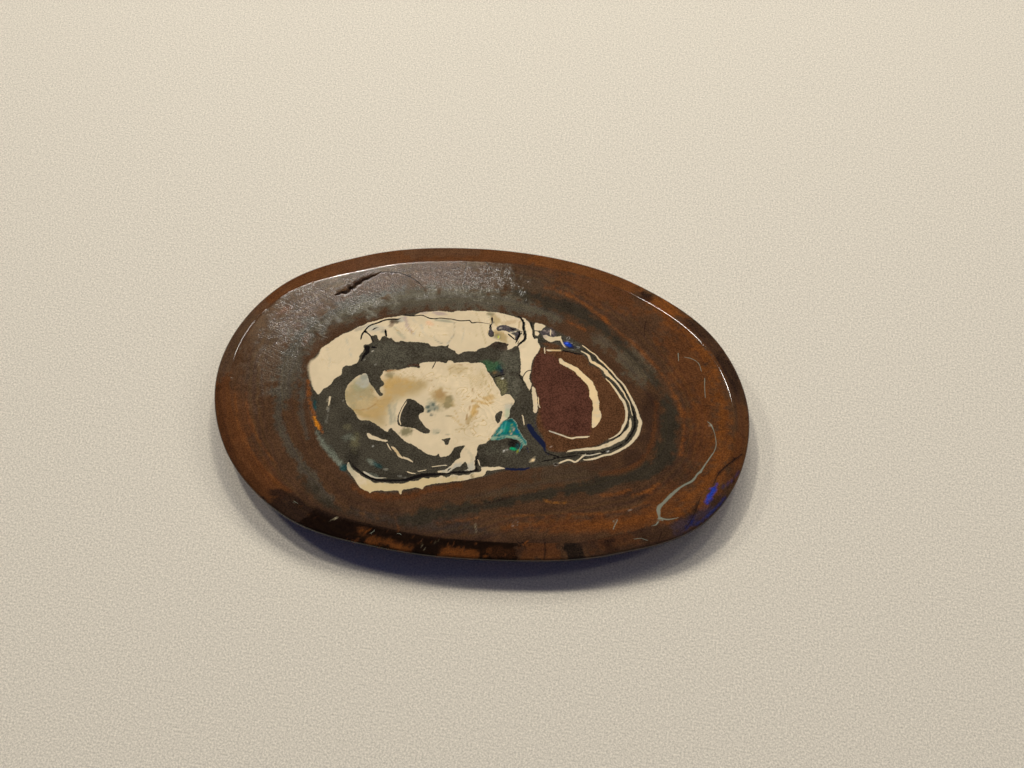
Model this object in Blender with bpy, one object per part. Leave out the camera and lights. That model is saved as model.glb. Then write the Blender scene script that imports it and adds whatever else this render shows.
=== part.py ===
"""An oval slab of boulder opal, cut and polished: one stone that rests on its flat back.

The frame: +X runs along the stone's length, +Y across it and +Z up out of the polished face.
The origin is in the middle of the back, which lies at z = 0.
"""

import math

import bmesh
import bpy
from mathutils import Vector

# The stone's own sizes, in metres.
LENGTH = 0.04506
WIDTH = 0.02943
GIRDLE_HEIGHT = 0.0025      # the widest line round the stone
FACE_EDGE_HEIGHT = 0.0031   # where the sloping rim meets the polished face
CROWN = 0.00015             # how far the face swells up towards its middle
BACK_INSET = 0.00215        # how far the foot lies in from the girdle

# Roundings, in metres.
GIRDLE_ROUND = 0.00028
FACE_EDGE_ROUND = 0.0008
FOOT_ROUND = 0.0002

# The girdle's distance from the stone's middle, as (direction in degrees from +X, metres).
GIRDLE = (
    (0.0, 0.02250),
    (20.0, 0.02115),
    (45.0, 0.01770),
    (68.0, 0.01550),
    (90.0, 0.01470),
    (112.0, 0.01532),
    (135.0, 0.01755),
    (158.0, 0.02095),
    (180.0, 0.02250),
    (200.0, 0.02175),
    (222.0, 0.01930),
    (246.0, 0.01600),
    (270.0, 0.01470),
    (292.0, 0.01525),
    (315.0, 0.01780),
    (337.0, 0.02160),
)

# The width of the sloping rim between the girdle and the face, written the same way.
RIM = (
    (0.0, 0.00138),
    (30.0, 0.00150),
    (60.0, 0.00136),
    (90.0, 0.00155),
    (127.0, 0.00187),
    (145.0, 0.00190),
    (162.0, 0.00116),
    (183.0, 0.00122),
    (205.0, 0.00162),
    (222.0, 0.00202),
    (240.0, 0.00185),
    (258.0, 0.00156),
    (290.0, 0.00142),
    (315.0, 0.00150),
    (330.0, 0.00182),
    (342.0, 0.00142),
)

# An open fissure in the face. Each station is (x, y, half of its width, depth), in metres.
FISSURE = (
    (-0.01385, 0.00775, 0.00006, 0.00006),
    (-0.01338, 0.00815, 0.00030, 0.00026),
    (-0.01268, 0.00878, 0.00034, 0.00034),
    (-0.01220, 0.00935, 0.00026, 0.00030),
    (-0.01155, 0.00984, 0.00022, 0.00028),
    (-0.01100, 0.01015, 0.00018, 0.00024),
    (-0.01050, 0.01037, 0.00009, 0.00012),
    (-0.00980, 0.01056, 0.00005, 0.00006),
)
FISSURE_RISE = 0.00012      # how far its cutter stands out of the face
FISSURE_LEAN = 0.35         # its floor lies this share of the half-width towards the far wall

# How finely the stone is divided.
SEGMENTS = 120
ROUND_STEPS = 4
FACE_EDGE_MIDDLE = math.radians(79.0)   # the slope halfway round the face's edge
FACE_EDGE_END = 88.5                    # and where it meets the face, in degrees
FACE_RINGS = (0.93, 0.80, 0.62, 0.42, 0.22)
SMOOTH_BELOW = math.radians(30.0)

IRONSTONE_COLOUR = (0.085, 0.048, 0.026, 1.0)
IRONSTONE_ROUGHNESS = 0.22


def clear_scene():
    for obj in list(bpy.data.objects):
        bpy.data.objects.remove(obj, do_unlink=True)


def around(angle, stations):
    """The value at an angle on a smooth closed curve through (degrees, value) stations."""
    degrees = math.degrees(angle) % 360.0
    count = len(stations)
    after = next((i for i, station in enumerate(stations) if station[0] > degrees), count)
    indices = [after + k for k in (-2, -1, 0, 1)]
    xs = [stations[i % count][0] + 360.0 * (i // count) for i in indices]
    ys = [stations[i % count][1] for i in indices]
    span = xs[2] - xs[1]
    t = (degrees - xs[1]) / span
    slope_in = (ys[2] - ys[0]) / (xs[2] - xs[0]) * span
    slope_out = (ys[3] - ys[1]) / (xs[3] - xs[1]) * span
    bend_in = slope_in - (ys[2] - ys[1])
    bend_out = (ys[2] - ys[1]) - slope_out
    return (1.0 - t) * ys[1] + t * ys[2] + t * (1.0 - t) * ((1.0 - t) * bend_in + t * bend_out)


def directions():
    return [math.tau * i / SEGMENTS for i in range(SEGMENTS)]


def girdle_outline():
    """The girdle's points, centred on the origin, with the stated length and width."""
    raw = []
    for angle in directions():
        raw.append(Vector((math.cos(angle), math.sin(angle))) * around(angle, GIRDLE))
    low = Vector((min(p.x for p in raw), min(p.y for p in raw)))
    high = Vector((max(p.x for p in raw), max(p.y for p in raw)))
    middle = (low + high) / 2.0
    stretch_x = LENGTH / (high.x - low.x)
    stretch_y = WIDTH / (high.y - low.y)
    return [Vector(((p.x - middle.x) * stretch_x, (p.y - middle.y) * stretch_y)) for p in raw]


def arc(centre, radius, start, end):
    """Points of an arc in the (inset, height) plane, from start to end in degrees."""
    points = []
    for i in range(ROUND_STEPS + 1):
        turn = math.radians(start + (end - start) * i / ROUND_STEPS)
        points.append((centre[0] - radius * math.cos(turn), centre[1] + radius * math.sin(turn)))
    return points


def tangent(start, start_radius, end, end_radius):
    """The slope, in degrees, of the straight side that runs tangent from one arc to the next."""
    along = math.hypot(end[0] - start[0], end[1] - start[1])
    facing = math.atan2(end[1] - start[1], start[0] - end[0]) % math.tau
    return math.degrees(facing - math.acos((start_radius - end_radius) / along))


def rim_profile(rim_width):
    """The side of the stone as (inset from the girdle, height), from the foot to the face."""
    foot = (BACK_INSET + FOOT_ROUND, FOOT_ROUND)
    girdle = (GIRDLE_ROUND, GIRDLE_HEIGHT)
    edge_inset = rim_width + FACE_EDGE_ROUND * math.cos(FACE_EDGE_MIDDLE)
    edge = (edge_inset, FACE_EDGE_HEIGHT - FACE_EDGE_ROUND)
    back_slope = tangent(foot, FOOT_ROUND, girdle, GIRDLE_ROUND)
    rim_slope = tangent(girdle, GIRDLE_ROUND, edge, FACE_EDGE_ROUND)
    profile = arc(foot, FOOT_ROUND, -90.0, back_slope)
    profile += arc(girdle, GIRDLE_ROUND, back_slope, rim_slope)
    profile += arc(edge, FACE_EDGE_ROUND, rim_slope, FACE_EDGE_END)
    return profile


def ironstone():
    material = bpy.data.materials.new("ironstone")
    material.use_nodes = True
    shader = material.node_tree.nodes["Principled BSDF"]
    shader.inputs["Base Color"].default_value = IRONSTONE_COLOUR
    shader.inputs["Metallic"].default_value = 0.0
    shader.inputs["Roughness"].default_value = IRONSTONE_ROUGHNESS
    return material


def face_height(share):
    """The height of the face at a share of the way from its middle to its edge."""
    return FACE_EDGE_HEIGHT + CROWN * (1.0 - share * share)


def add_ring(mesh, outline, insets, heights):
    ring = []
    for point, inset, height in zip(outline, insets, heights):
        moved = point * (1.0 - inset / point.length)
        ring.append(mesh.verts.new((moved.x, moved.y, height)))
    return ring


def join_rings(mesh, lower, upper):
    count = len(lower)
    for i in range(count):
        j = (i + 1) % count
        mesh.faces.new((lower[i], lower[j], upper[j], upper[i]))


def make_slab():
    """The stone: foot, undercut back, girdle, sloping rim and crowned face in one skin."""
    outline = girdle_outline()
    profiles = [rim_profile(around(angle, RIM)) for angle in directions()]
    mesh = bmesh.new()

    rings = []
    for step in range(len(profiles[0])):
        insets = [profile[step][0] for profile in profiles]
        heights = [profile[step][1] for profile in profiles]
        rings.append(add_ring(mesh, outline, insets, heights))
    for share in FACE_RINGS:
        edge_insets = [profile[-1][0] for profile in profiles]
        insets = [p.length - share * (p.length - inset) for p, inset in zip(outline, edge_insets)]
        rings.append(add_ring(mesh, outline, insets, [face_height(share)] * SEGMENTS))
    for lower, upper in zip(rings, rings[1:]):
        join_rings(mesh, lower, upper)

    mesh.faces.new(list(reversed(rings[0])))
    middle = mesh.verts.new((0.0, 0.0, face_height(0.0)))
    for i in range(SEGMENTS):
        mesh.faces.new((rings[-1][i], rings[-1][(i + 1) % SEGMENTS], middle))

    data = bpy.data.meshes.new("opal_slab")
    mesh.to_mesh(data)
    mesh.free()
    data.materials.append(ironstone())
    slab = bpy.data.objects.new("opal_slab", data)
    bpy.context.collection.objects.link(slab)
    return slab


def fissure_section(station, across, height):
    """The three corners of the fissure's cutter at a station: near lip, floor and far lip."""
    x, y, half_width, depth = station
    centre = Vector((x, y))
    floor = centre + across * half_width * FISSURE_LEAN
    reach = 1.0 + FISSURE_RISE / depth
    near = floor + (centre - across * half_width - floor) * reach
    far = floor + (centre + across * half_width - floor) * reach
    top = height + FISSURE_RISE
    return (near.x, near.y, top), (floor.x, floor.y, height - depth), (far.x, far.y, top)


def make_fissure_cutter():
    """A thin wedge that follows the fissure and tapers at both ends."""
    centres = [Vector(station[:2]) for station in FISSURE]
    height = face_height(0.8)
    mesh = bmesh.new()
    sections = []
    for i, station in enumerate(FISSURE):
        along = centres[min(i + 1, len(centres) - 1)] - centres[max(i - 1, 0)]
        across = Vector((-along.y, along.x)).normalized()
        sections.append([mesh.verts.new(c) for c in fissure_section(station, across, height)])
    for here, there in zip(sections, sections[1:]):
        for i in range(3):
            j = (i + 1) % 3
            mesh.faces.new((here[i], here[j], there[j], there[i]))
    mesh.faces.new(list(reversed(sections[0])))
    mesh.faces.new(sections[-1])
    bmesh.ops.triangulate(mesh, faces=mesh.faces[:])
    bmesh.ops.recalc_face_normals(mesh, faces=mesh.faces[:])

    data = bpy.data.meshes.new("fissure_cutter")
    mesh.to_mesh(data)
    mesh.free()
    cutter = bpy.data.objects.new("fissure_cutter", data)
    cutter.hide_render = True
    cutter.display_type = 'WIRE'
    bpy.context.collection.objects.link(cutter)
    return cutter


def cut(target, cutter):
    boolean = target.modifiers.new("fissure", 'BOOLEAN')
    boolean.operation = 'DIFFERENCE'
    boolean.solver = 'EXACT'
    boolean.object = cutter


def main():
    clear_scene()
    slab = make_slab()
    slab.data.shade_smooth()
    slab.data.set_sharp_from_angle(angle=SMOOTH_BELOW)
    cut(slab, make_fissure_cutter())


main()
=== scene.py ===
import math

import bmesh
import bpy
import numpy as np
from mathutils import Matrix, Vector, noise


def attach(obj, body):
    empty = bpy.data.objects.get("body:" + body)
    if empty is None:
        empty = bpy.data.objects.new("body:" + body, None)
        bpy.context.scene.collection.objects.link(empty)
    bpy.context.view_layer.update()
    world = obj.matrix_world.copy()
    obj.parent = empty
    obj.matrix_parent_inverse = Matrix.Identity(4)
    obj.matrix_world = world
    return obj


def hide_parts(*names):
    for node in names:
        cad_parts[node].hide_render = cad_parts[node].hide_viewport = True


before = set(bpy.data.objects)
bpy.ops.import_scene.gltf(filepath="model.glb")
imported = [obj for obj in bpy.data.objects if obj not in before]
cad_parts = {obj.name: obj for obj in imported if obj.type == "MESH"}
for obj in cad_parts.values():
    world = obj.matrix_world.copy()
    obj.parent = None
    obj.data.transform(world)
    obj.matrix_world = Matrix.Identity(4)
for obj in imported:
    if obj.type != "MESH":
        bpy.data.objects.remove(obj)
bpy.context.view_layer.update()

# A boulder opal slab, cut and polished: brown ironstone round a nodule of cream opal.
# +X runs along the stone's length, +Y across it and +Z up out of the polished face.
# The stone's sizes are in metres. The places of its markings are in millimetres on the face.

MM = 0.001

# ---- The stone's own sizes, as its solid has them ----

LENGTH = 0.04506
WIDTH = 0.02943
GIRDLE_HEIGHT = 0.0025
FACE_EDGE_HEIGHT = 0.0031
CROWN = 0.00015
BACK_INSET = 0.00215
GIRDLE_ROUND = 0.00028
FACE_EDGE_ROUND = 0.0008
FOOT_ROUND = 0.0002
FACE_EDGE_MIDDLE = math.radians(79.0)
FACE_EDGE_END = 88.5
ROUND_STEPS = 4
OUTLINE_STEPS = 3600        # how finely the girdle is measured for its length and width

# The girdle's distance from the middle, and the rim's width: (degrees from +X, metres).
GIRDLE = (
    (0.0, 0.02250), (20.0, 0.02115), (45.0, 0.01770), (68.0, 0.01550),
    (90.0, 0.01470), (112.0, 0.01532), (135.0, 0.01755), (158.0, 0.02095),
    (180.0, 0.02250), (200.0, 0.02175), (222.0, 0.01930), (246.0, 0.01600),
    (270.0, 0.01470), (292.0, 0.01525), (315.0, 0.01780), (337.0, 0.02160),
)
RIM = (
    (0.0, 0.00138), (30.0, 0.00150), (60.0, 0.00136), (90.0, 0.00155),
    (127.0, 0.00187), (145.0, 0.00190), (162.0, 0.00116), (183.0, 0.00122),
    (205.0, 0.00162), (222.0, 0.00202), (240.0, 0.00185), (258.0, 0.00156),
    (290.0, 0.00142), (315.0, 0.00150), (330.0, 0.00182), (342.0, 0.00142),
)

# ---- How finely its skin is divided ----

CELLS_ALONG = 308           # both are multiples of four, so that the back can be coarser
CELLS_ACROSS = 196
FINE_ALONG = 0.70           # the nodule lies inside this share of the half-length
FINE_ACROSS = 0.80
FINE_BY = 0.62              # a cell there is this share of the size of one near the rim
SLOPE_SHARES = (0.05, 0.18, 0.34, 0.50, 0.66, 0.82, 0.95)
UNDERCUT_SHARES = (0.2, 0.4, 0.6, 0.8)
BACK_STEP = 4
FLAT_BACK_SHARE = 0.90      # where the back's coarse cells start, as a share of the foot

# ---- Markings ----


def trace(text):
    """Points written as "x,y" or "x,y,width" in millimetres. A width holds until the next one."""
    points = []
    width = 0.1
    for word in text.split():
        numbers = [float(number) for number in word.split(",")]
        if len(numbers) > 2:
            width = numbers[2]
        points.append((numbers[0], numbers[1], width))
    return points


NODULE = trace("""
    -14.8,.5 -14.1,2.2 -12.5,4.0 -10.8,5.2 -8.3,6.4 -6.2,7.1 -3.0,7.6 0,7.93 2.2,7.75 3.3,7.4 4.6,7.2 6,6.6
    7.9,5.75 9.4,4.6 11.1,3.0 12.4,1.4 13.3,-.2 13.55,-1.2 13.3,-2.3 12.3,-3.6 10.8,-4.4 9.2,-5.1 7.3,-5.6
    5,-6.3 3,-6.75 1.3,-7.6 -1,-8.4 -3.3,-9.1 -5,-9.8 -7.5,-10.1 -8.8,-9.5 -10.1,-8.5 -11.9,-7.0 -13,-5.4
    -13.9,-3.6 -14.5,-1.5""")

# The opal: the crescent and the upper band, clockwise from the crescent's lower tip.
CRESCENT_AND_BAND = trace("""
    -13.52,-2.04 -13.71,-1.82 -14.0,-1.56 -14.26,-1.05 -14.54,-.42 -14.73,.09 -14.83,.54 -14.73,.99
    -14.48,1.24 -14.22,1.62 -14.16,2.01 -14.07,2.39 -13.78,2.64 -13.46,3.02 -13.2,3.34 -12.82,3.69
    -12.5,4.01 -12.02,4.26 -11.67,4.58 -11.35,4.87 -11.0,5.04
    -10.81,5.22 -10.59,5.41 -10.08,5.6 -9.63,5.86 -9.25,6.05 -8.74,6.18 -8.29,6.33 -7.97,6.46 -7.46,6.51
    -7.0,6.58 -6.57,6.84 -6.25,7.04 -5.36,7.23 -5.01,7.32 -4.72,7.39 -4.02,7.39 -3.58,7.42 -3.26,7.61
    -2.81,7.63 -2.43,7.74 -1.92,7.82 -1.54,7.8 -1.03,7.88 -.51,7.9 .06,7.93 .70,7.88 1.14,7.82 1.53,7.74
    1.97,7.67 2.23,7.58 2.35,7.58 2.58,7.2 2.61,6.75 2.77,6.3 2.9,5.92 2.86,5.54 2.61,5.22 2.45,4.9
    2.23,4.84 1.91,4.52 1.4,4.26 1.59,4.39 1.53,4.71 1.59,4.96
    .63,5.06 .31,4.9 .06,4.64 -.2,4.39 -.52,4.26 -.83,4.13 -.99,3.88 -1.28,3.82 -1.66,3.75 -2.05,3.66
    -2.17,3.59 -2.3,3.43 -2.49,3.37 -2.65,3.46 -2.75,3.62 -3.07,3.75 -3.39,3.88 -3.45,4.2 -3.64,4.0
    -4.02,4.0 -4.34,3.91 -4.66,3.82 -4.95,3.88 -5.17,4.04 -5.49,4.07 -6,4.07 -6.57,4.0 -6.76,4.04
    -6.95,3.94 -7.27,3.97 -7.56,4.0 -7.66,3.85 -7.91,3.82 -8.17,3.94 -8.36,4.2 -8.48,4.1 -8.8,4.2
    -9.12,4.26 -9.25,3.94 -9.31,3.75 -9.5,3.9 -9.7,4.26 -10.14,4.07 -10.02,3.82 -9.95,3.5 -10.2,3.27
    -10.56,3.18
    -10.59,3.02 -10.49,2.73 -10.53,2.54 -10.65,2.26 -10.78,2.04 -10.72,1.85 -10.75,1.56 -10.84,1.34
    -11.1,1.18 -11.29,1.02 -11.67,.99 -11.86,.83 -11.96,.64 -11.93,.44 -11.9,.19 -11.99,-.03
    -12.18,-.16 -12.38,-.35 -12.5,-.61 -12.66,-1.05 -12.95,-1.31 -13.2,-1.56 -13.36,-1.98""")

DIVIDER = trace("""
    2.48,4.9 2.64,4.45 2.74,4.0 2.83,3.56 2.93,3.05 2.99,2.6 3.02,2.13 3.25,2.0 3.38,1.62 3.57,1.4
    3.76,1.05 3.98,.76 4.01,.8 4.07,1.18 4.04,1.43 3.88,1.69 3.79,2.07 3.82,2.3 3.85,2.8 3.82,3.24
    3.88,3.75 4.01,4.13 4.2,4.45 4.3,4.9 4.27,5.15 4.07,5.47 3.98,5.82 3.76,5.76 3.63,5.86 3.5,6.17
    3.44,6.56 3.25,6.94 3.06,7.32 2.8,7.5 2.55,7.7 2.23,7.74 2.5,7.55 2.74,7.2 2.78,6.78 2.94,6.33
    3.06,5.92 3.03,5.5 2.78,5.2""")
DIVIDER_FOOT = trace("""
    4.17,1.15 4.39,1.05 4.55,.67 4.68,.22 4.78,-.29 4.87,-.74 4.87,-1.12 4.71,-1.28 4.55,-1.18 4.49,-.74
    4.42,-.29 4.3,.16 4.2,.6""")
CHIP_TOP = trace("3.56,7.32 3.88,7.34 4.27,7.26 4.52,7.16 4.33,6.88 4.23,6.69 3.88,6.62 3.63,6.65 3.56,6.94")
CHIP_SMALL = trace("3.69,6.49 3.95,6.49 4.07,6.3 3.95,6.08 3.76,6.14")
CHIP_LONG = trace("""
    4.42,6.24 4.78,6.24 5.09,6.14 5.54,6.24 5.86,6.33 5.92,6.37 5.99,6.11 5.92,5.92 5.6,5.86 5.19,5.66
    4.9,5.73 4.52,5.95""")
NUT_CRESCENT = trace("""
    6.02,4.07 6.21,4.2 6.34,4.07 6.56,3.88 7.01,3.75 7.45,3.56 7.84,3.37 8.22,3.02 8.6,2.73 9.05,2.4
    9.24,2.07 9.49,1.62 9.62,1.37 9.72,.92 9.88,.54 9.91,.16 10.0,-.29 10.16,-.54 10.2,-.86 10.1,-1.31
    9.94,-1.63 9.72,-1.91 9.56,-1.98 9.49,-1.56 9.43,-.93 9.4,-.48 9.46,-.29 9.37,.16 9.27,.54 9.02,.86
    8.98,1.18 8.92,1.5 8.76,1.88 8.47,2.2 8.09,2.52 7.71,2.84 7.58,3.02 7.07,3.3 6.56,3.53 6.18,3.69
    6.08,3.91""")
LOWER_BAND = trace("""
    -9.73,-7.84 -9.57,-8.09 -9.19,-8.47 -8.74,-8.73 -8.29,-8.98 -7.85,-9.11 -7.46,-9.32 -7.21,-9.34
    -6.89,-9.27 -6.44,-9.21 -5.93,-9.22 -5.62,-9.14 -5.17,-9.14 -4.85,-9.02 -4.47,-8.79 -3.9,-8.67
    -3.64,-8.47 -3.45,-8.32 -3.07,-8.38 -2.88,-8.22 -2.43,-8.19 -2.05,-7.96 -1.6,-8.06 -1.41,-7.9
    -1.15,-7.71 -.9,-7.74 -.58,-7.74 -.26,-7.61 .12,-7.58 .38,-7.33 .76,-7.26 1.08,-7.14 1.02,-6.82
    .95,-6.69 1.14,-6.72 1.53,-6.66 2.04,-6.62 2.42,-6.53 2.93,-6.56 2.99,-6.62 2.48,-6.75 1.97,-6.94
    1.53,-6.98 1.46,-7.26 1.27,-7.52 .89,-7.68 .38,-7.87 -.01,-8.06 -.52,-8.22 -1.03,-8.32 -1.41,-8.47
    -1.92,-8.6 -2.43,-8.73 -2.94,-8.89 -3.26,-9.08 -3.39,-9.37 -3.58,-9.3 -3.96,-9.27 -4.47,-9.49
    -4.98,-9.65 -5.01,-9.94 -5.08,-10.1 -5.2,-9.94 -5.3,-9.78 -5.68,-9.78 -6.0,-9.88 -6.44,-9.94
    -6.76,-9.94 -7.4,-10.13 -7.5,-10.29 -7.66,-10.16 -7.97,-10.1 -8.36,-9.94 -8.61,-9.72 -8.87,-9.37
    -9.25,-8.98 -9.63,-8.6 -9.82,-8.22 -9.82,-7.9""")
STEM = trace("""
    -.58,-5.03 -.71,-5.41 -.87,-5.8 -.8,-6.18 -1.09,-6.43 -1.34,-6.82 -1.6,-7.14 -1.92,-7.45 -2.3,-7.52
    -2.49,-7.68 -2.05,-7.68 -1.54,-7.61 -1.28,-7.33 -1.03,-7.07 -.71,-6.94 -.52,-6.69 -.36,-6.47
    -.2,-6.56 -.07,-6.88 .03,-7.04 -.39,-7.23 -.26,-7.26 .12,-7.2 .5,-7.07 .54,-6.94 .44,-6.56 .41,-6.05
    .5,-5.54 .44,-5.16 .47,-4.81 .2,-4.5 -.4,-4.6""")
CORE = trace("""
    -8.29,.89 -8.04,1.05 -7.66,1.15 -7.21,1.18 -6.95,1.31 -6.57,1.46 -6.19,1.59 -5.81,1.62 -5.5,1.53
    -5.43,1.56 -5.55,1.88 -5.49,2.07 -4.98,2.23 -4.47,2.33 -3.96,2.42 -3.35,2.36 -3.19,2.63 -2.81,2.64
    -2.75,2.49 -2.36,2.55 -1.92,2.68 -1.54,2.74 -1.15,2.64 -.9,2.74 -.52,2.82 -.2,2.74 -.01,2.52
    .19,2.13 .44,1.82 .7,1.56 .89,1.24 1.08,.92 1.33,.64 1.53,.35 1.62,.09 1.75,-.13 1.91,0 2.1,.16
    2.35,.13 2.61,-.03 2.8,-.29 2.9,-.54 2.74,-.86 2.61,-1.25 2.67,-1.69 2.55,-2.01 2.35,-2.27
    2.1,-2.58 2.0,-2.97 1.84,-3.29 1.65,-3.6 1.46,-3.86 1.4,-4.14 1.21,-4.39 1.02,-4.62 .76,-4.71
    .47,-4.81 -.58,-5.03 -.96,-5.13 -1.28,-5.25 -1.44,-5.35 -1.54,-5.73 -1.73,-6.05 -2.05,-6.24
    -2.43,-6.31 -2.59,-6.02 -2.75,-6.24 -3.19,-6.27 -3.58,-6.18 -4.02,-5.96 -4.53,-5.7 -4.98,-5.48
    -5.36,-5.41 -5.93,-5.03 -6.32,-4.71 -6.63,-4.46 -6.89,-4.27 -7.02,-4.46 -7.08,-4.68 -7.4,-4.58
    -7.72,-4.39 -8.1,-4.17 -8.48,-3.98 -8.8,-3.87 -9.19,-3.88 -9.51,-3.94 -9.7,-3.8 -9.89,-3.61
    -10.08,-3.29 -10.46,-2.97 -10.91,-2.62 -11.1,-2.2 -11.26,-1.69 -11.26,-1.18 -11.1,-.67 -10.84,-.29
    -10.59,.09 -10.27,.29 -9.95,.48 -9.76,.35 -9.57,-.03 -9.38,-.42 -9.12,-.67 -8.87,-.93 -8.55,-1.37
    -8.29,-1.53 -8.1,-1.28 -8.36,-1.05 -8.48,-.74 -8.17,-.42 -8.29,-.1 -8.48,.03 -8.61,.29 -8.52,.54""")
LEAF = trace("-8.38,.95 -8.22,.6 -8.28,.15 -8.45,.1 -8.5,.5 -8.46,.85")
DASHES = (
    trace("""-8.74,-5.06 -8.55,-5.03 -8.29,-5.19 -7.85,-5.25 -7.46,-5.41 -6.95,-5.41 -6.89,-5.51
        -7.27,-5.59 -7.85,-5.54 -8.42,-5.51 -8.64,-5.32"""),
)

TEAL_OPAL = trace("""
    2.07,-2.65 2.23,-2.39 2.55,-2.2 2.86,-2.01 3.12,-2.2 3.38,-2.46 3.5,-2.84 3.76,-3.22 4.0,-3.54
    4.07,-3.67 4.33,-3.88 4.46,-4.33 4.2,-4.33 4.07,-4.65 3.88,-5.03 3.88,-4.78 3.95,-4.27 3.76,-4.01
    3.5,-3.91 2.93,-3.85 2.55,-3.91 2.23,-4.11 1.78,-4.2 1.4,-4.27 1.53,-3.88 1.65,-3.6 1.84,-3.16
    2.0,-2.9""")

# Gaps in the opal, where the dark stone shows through.
KIDNEY_HOLE = trace("""
    -6.0,-1.44 -5.74,-1.4 -5.36,-1.5 -4.98,-1.72 -4.66,-1.91 -4.44,-2.14 -4.47,-2.46 -4.66,-2.58
    -4.79,-2.78 -4.72,-3.1 -4.4,-3.48 -4.08,-3.8 -3.7,-4.02 -3.64,-4.1 -3.7,-4.33 -3.96,-4.42
    -4.28,-4.36 -4.72,-4.17 -5.04,-4.04 -6.0,-4.04 -6.38,-3.88 -6.51,-3.35 -6.48,-2.84 -6.35,-2.33
    -6.19,-1.82""")
RIGHT_HOLE = trace("1.46,-2.0 1.6,-1.7 1.9,-1.47 2.04,-1.55 2.0,-2.0 1.98,-2.4 1.78,-2.68 1.6,-2.45")
LOW_NOTCH = trace("""
    -2.68,-4.71 -2.43,-4.68 -2.17,-4.58 -1.85,-4.49 -1.92,-4.78 -1.92,-5.06 -2.17,-5.22 -2.24,-5.03
    -2.43,-4.84""")
BAND_GAP = trace("""
    .35,6.3 .5,6.6 1.0,6.76 1.5,6.66 2.0,6.6 2.4,6.4 2.45,5.9 2.3,5.45 2.1,5.4 2.05,5.8 1.75,5.95 1.4,6.15
    1.0,6.2 .6,6.1""")
BAND_SIDE_GAP = trace("-.3,6.7 -.1,6.6 -.02,6.2 .2,5.9 .25,5.5 -.1,5.45 -.28,5.8 -.22,6.2")

OPAL = (
    CRESCENT_AND_BAND, DIVIDER, DIVIDER_FOOT, CHIP_TOP, CHIP_SMALL, CHIP_LONG, NUT_CRESCENT,
    LOWER_BAND, STEM, CORE, LEAF, TEAL_OPAL,
) + DASHES
GAPS = (KIDNEY_HOLE, RIGHT_HOLE, LOW_NOTCH, BAND_GAP, BAND_SIDE_GAP)

NUT = trace("""
    4.3,4.95 5.2,5.05 6.24,4.93 7.0,4.9 7.9,4.8 8.54,4.33 8.6,3.94 8.92,3.82 9.24,3.75 9.62,3.56
    9.78,3.24 9.94,2.92 10.26,2.75 10.96,2.01 11.6,1.18 12.1,.35 12.24,-.1 12.27,-.61 12.24,-1.05
    11.98,-1.88 11.47,-2.52 10.9,-2.9 10.2,-3.5 9.18,-3.9 8.47,-4.1 7.84,-4.39 7.33,-4.49 6.69,-4.55
    6.18,-4.46 5.92,-4.07 5.6,-3.3 5.1,-2.6 4.9,-1.7 4.95,-1.0 4.75,.3 4.4,1.2 4.0,2.0 3.95,3.0
    4.1,3.9 4.35,4.5""")
NUT_HEART = trace("""
    4.1,4.3 3.95,3.4 4.0,1.8 4.3,1.2 5.0,-.3 5.2,-1.5 5.7,-2.6 6.5,-2.75 8.3,-2.95 9.3,-2.8 9.5,-1.8
    9.4,-.5 9.2,.5 8.9,1.3 8.4,2.2 7.6,2.9 6.4,3.6 6.0,4.1 5.2,4.45 4.5,4.5""")
HONEY_OPAL = trace("""
    -11.3,-1.2 -10.3,0 -9.5,-.6 -8.3,-1.6 -8.2,-.2 -8.1,.7 -7.2,.6 -6.0,.35 -5.0,.5 -4.6,.2 -5.2,-.9
    -6.2,-1.3 -7.0,-2.0 -7.4,-3.0 -7.5,-4.3 -9.4,-3.9 -10.9,-2.6""")

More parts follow.
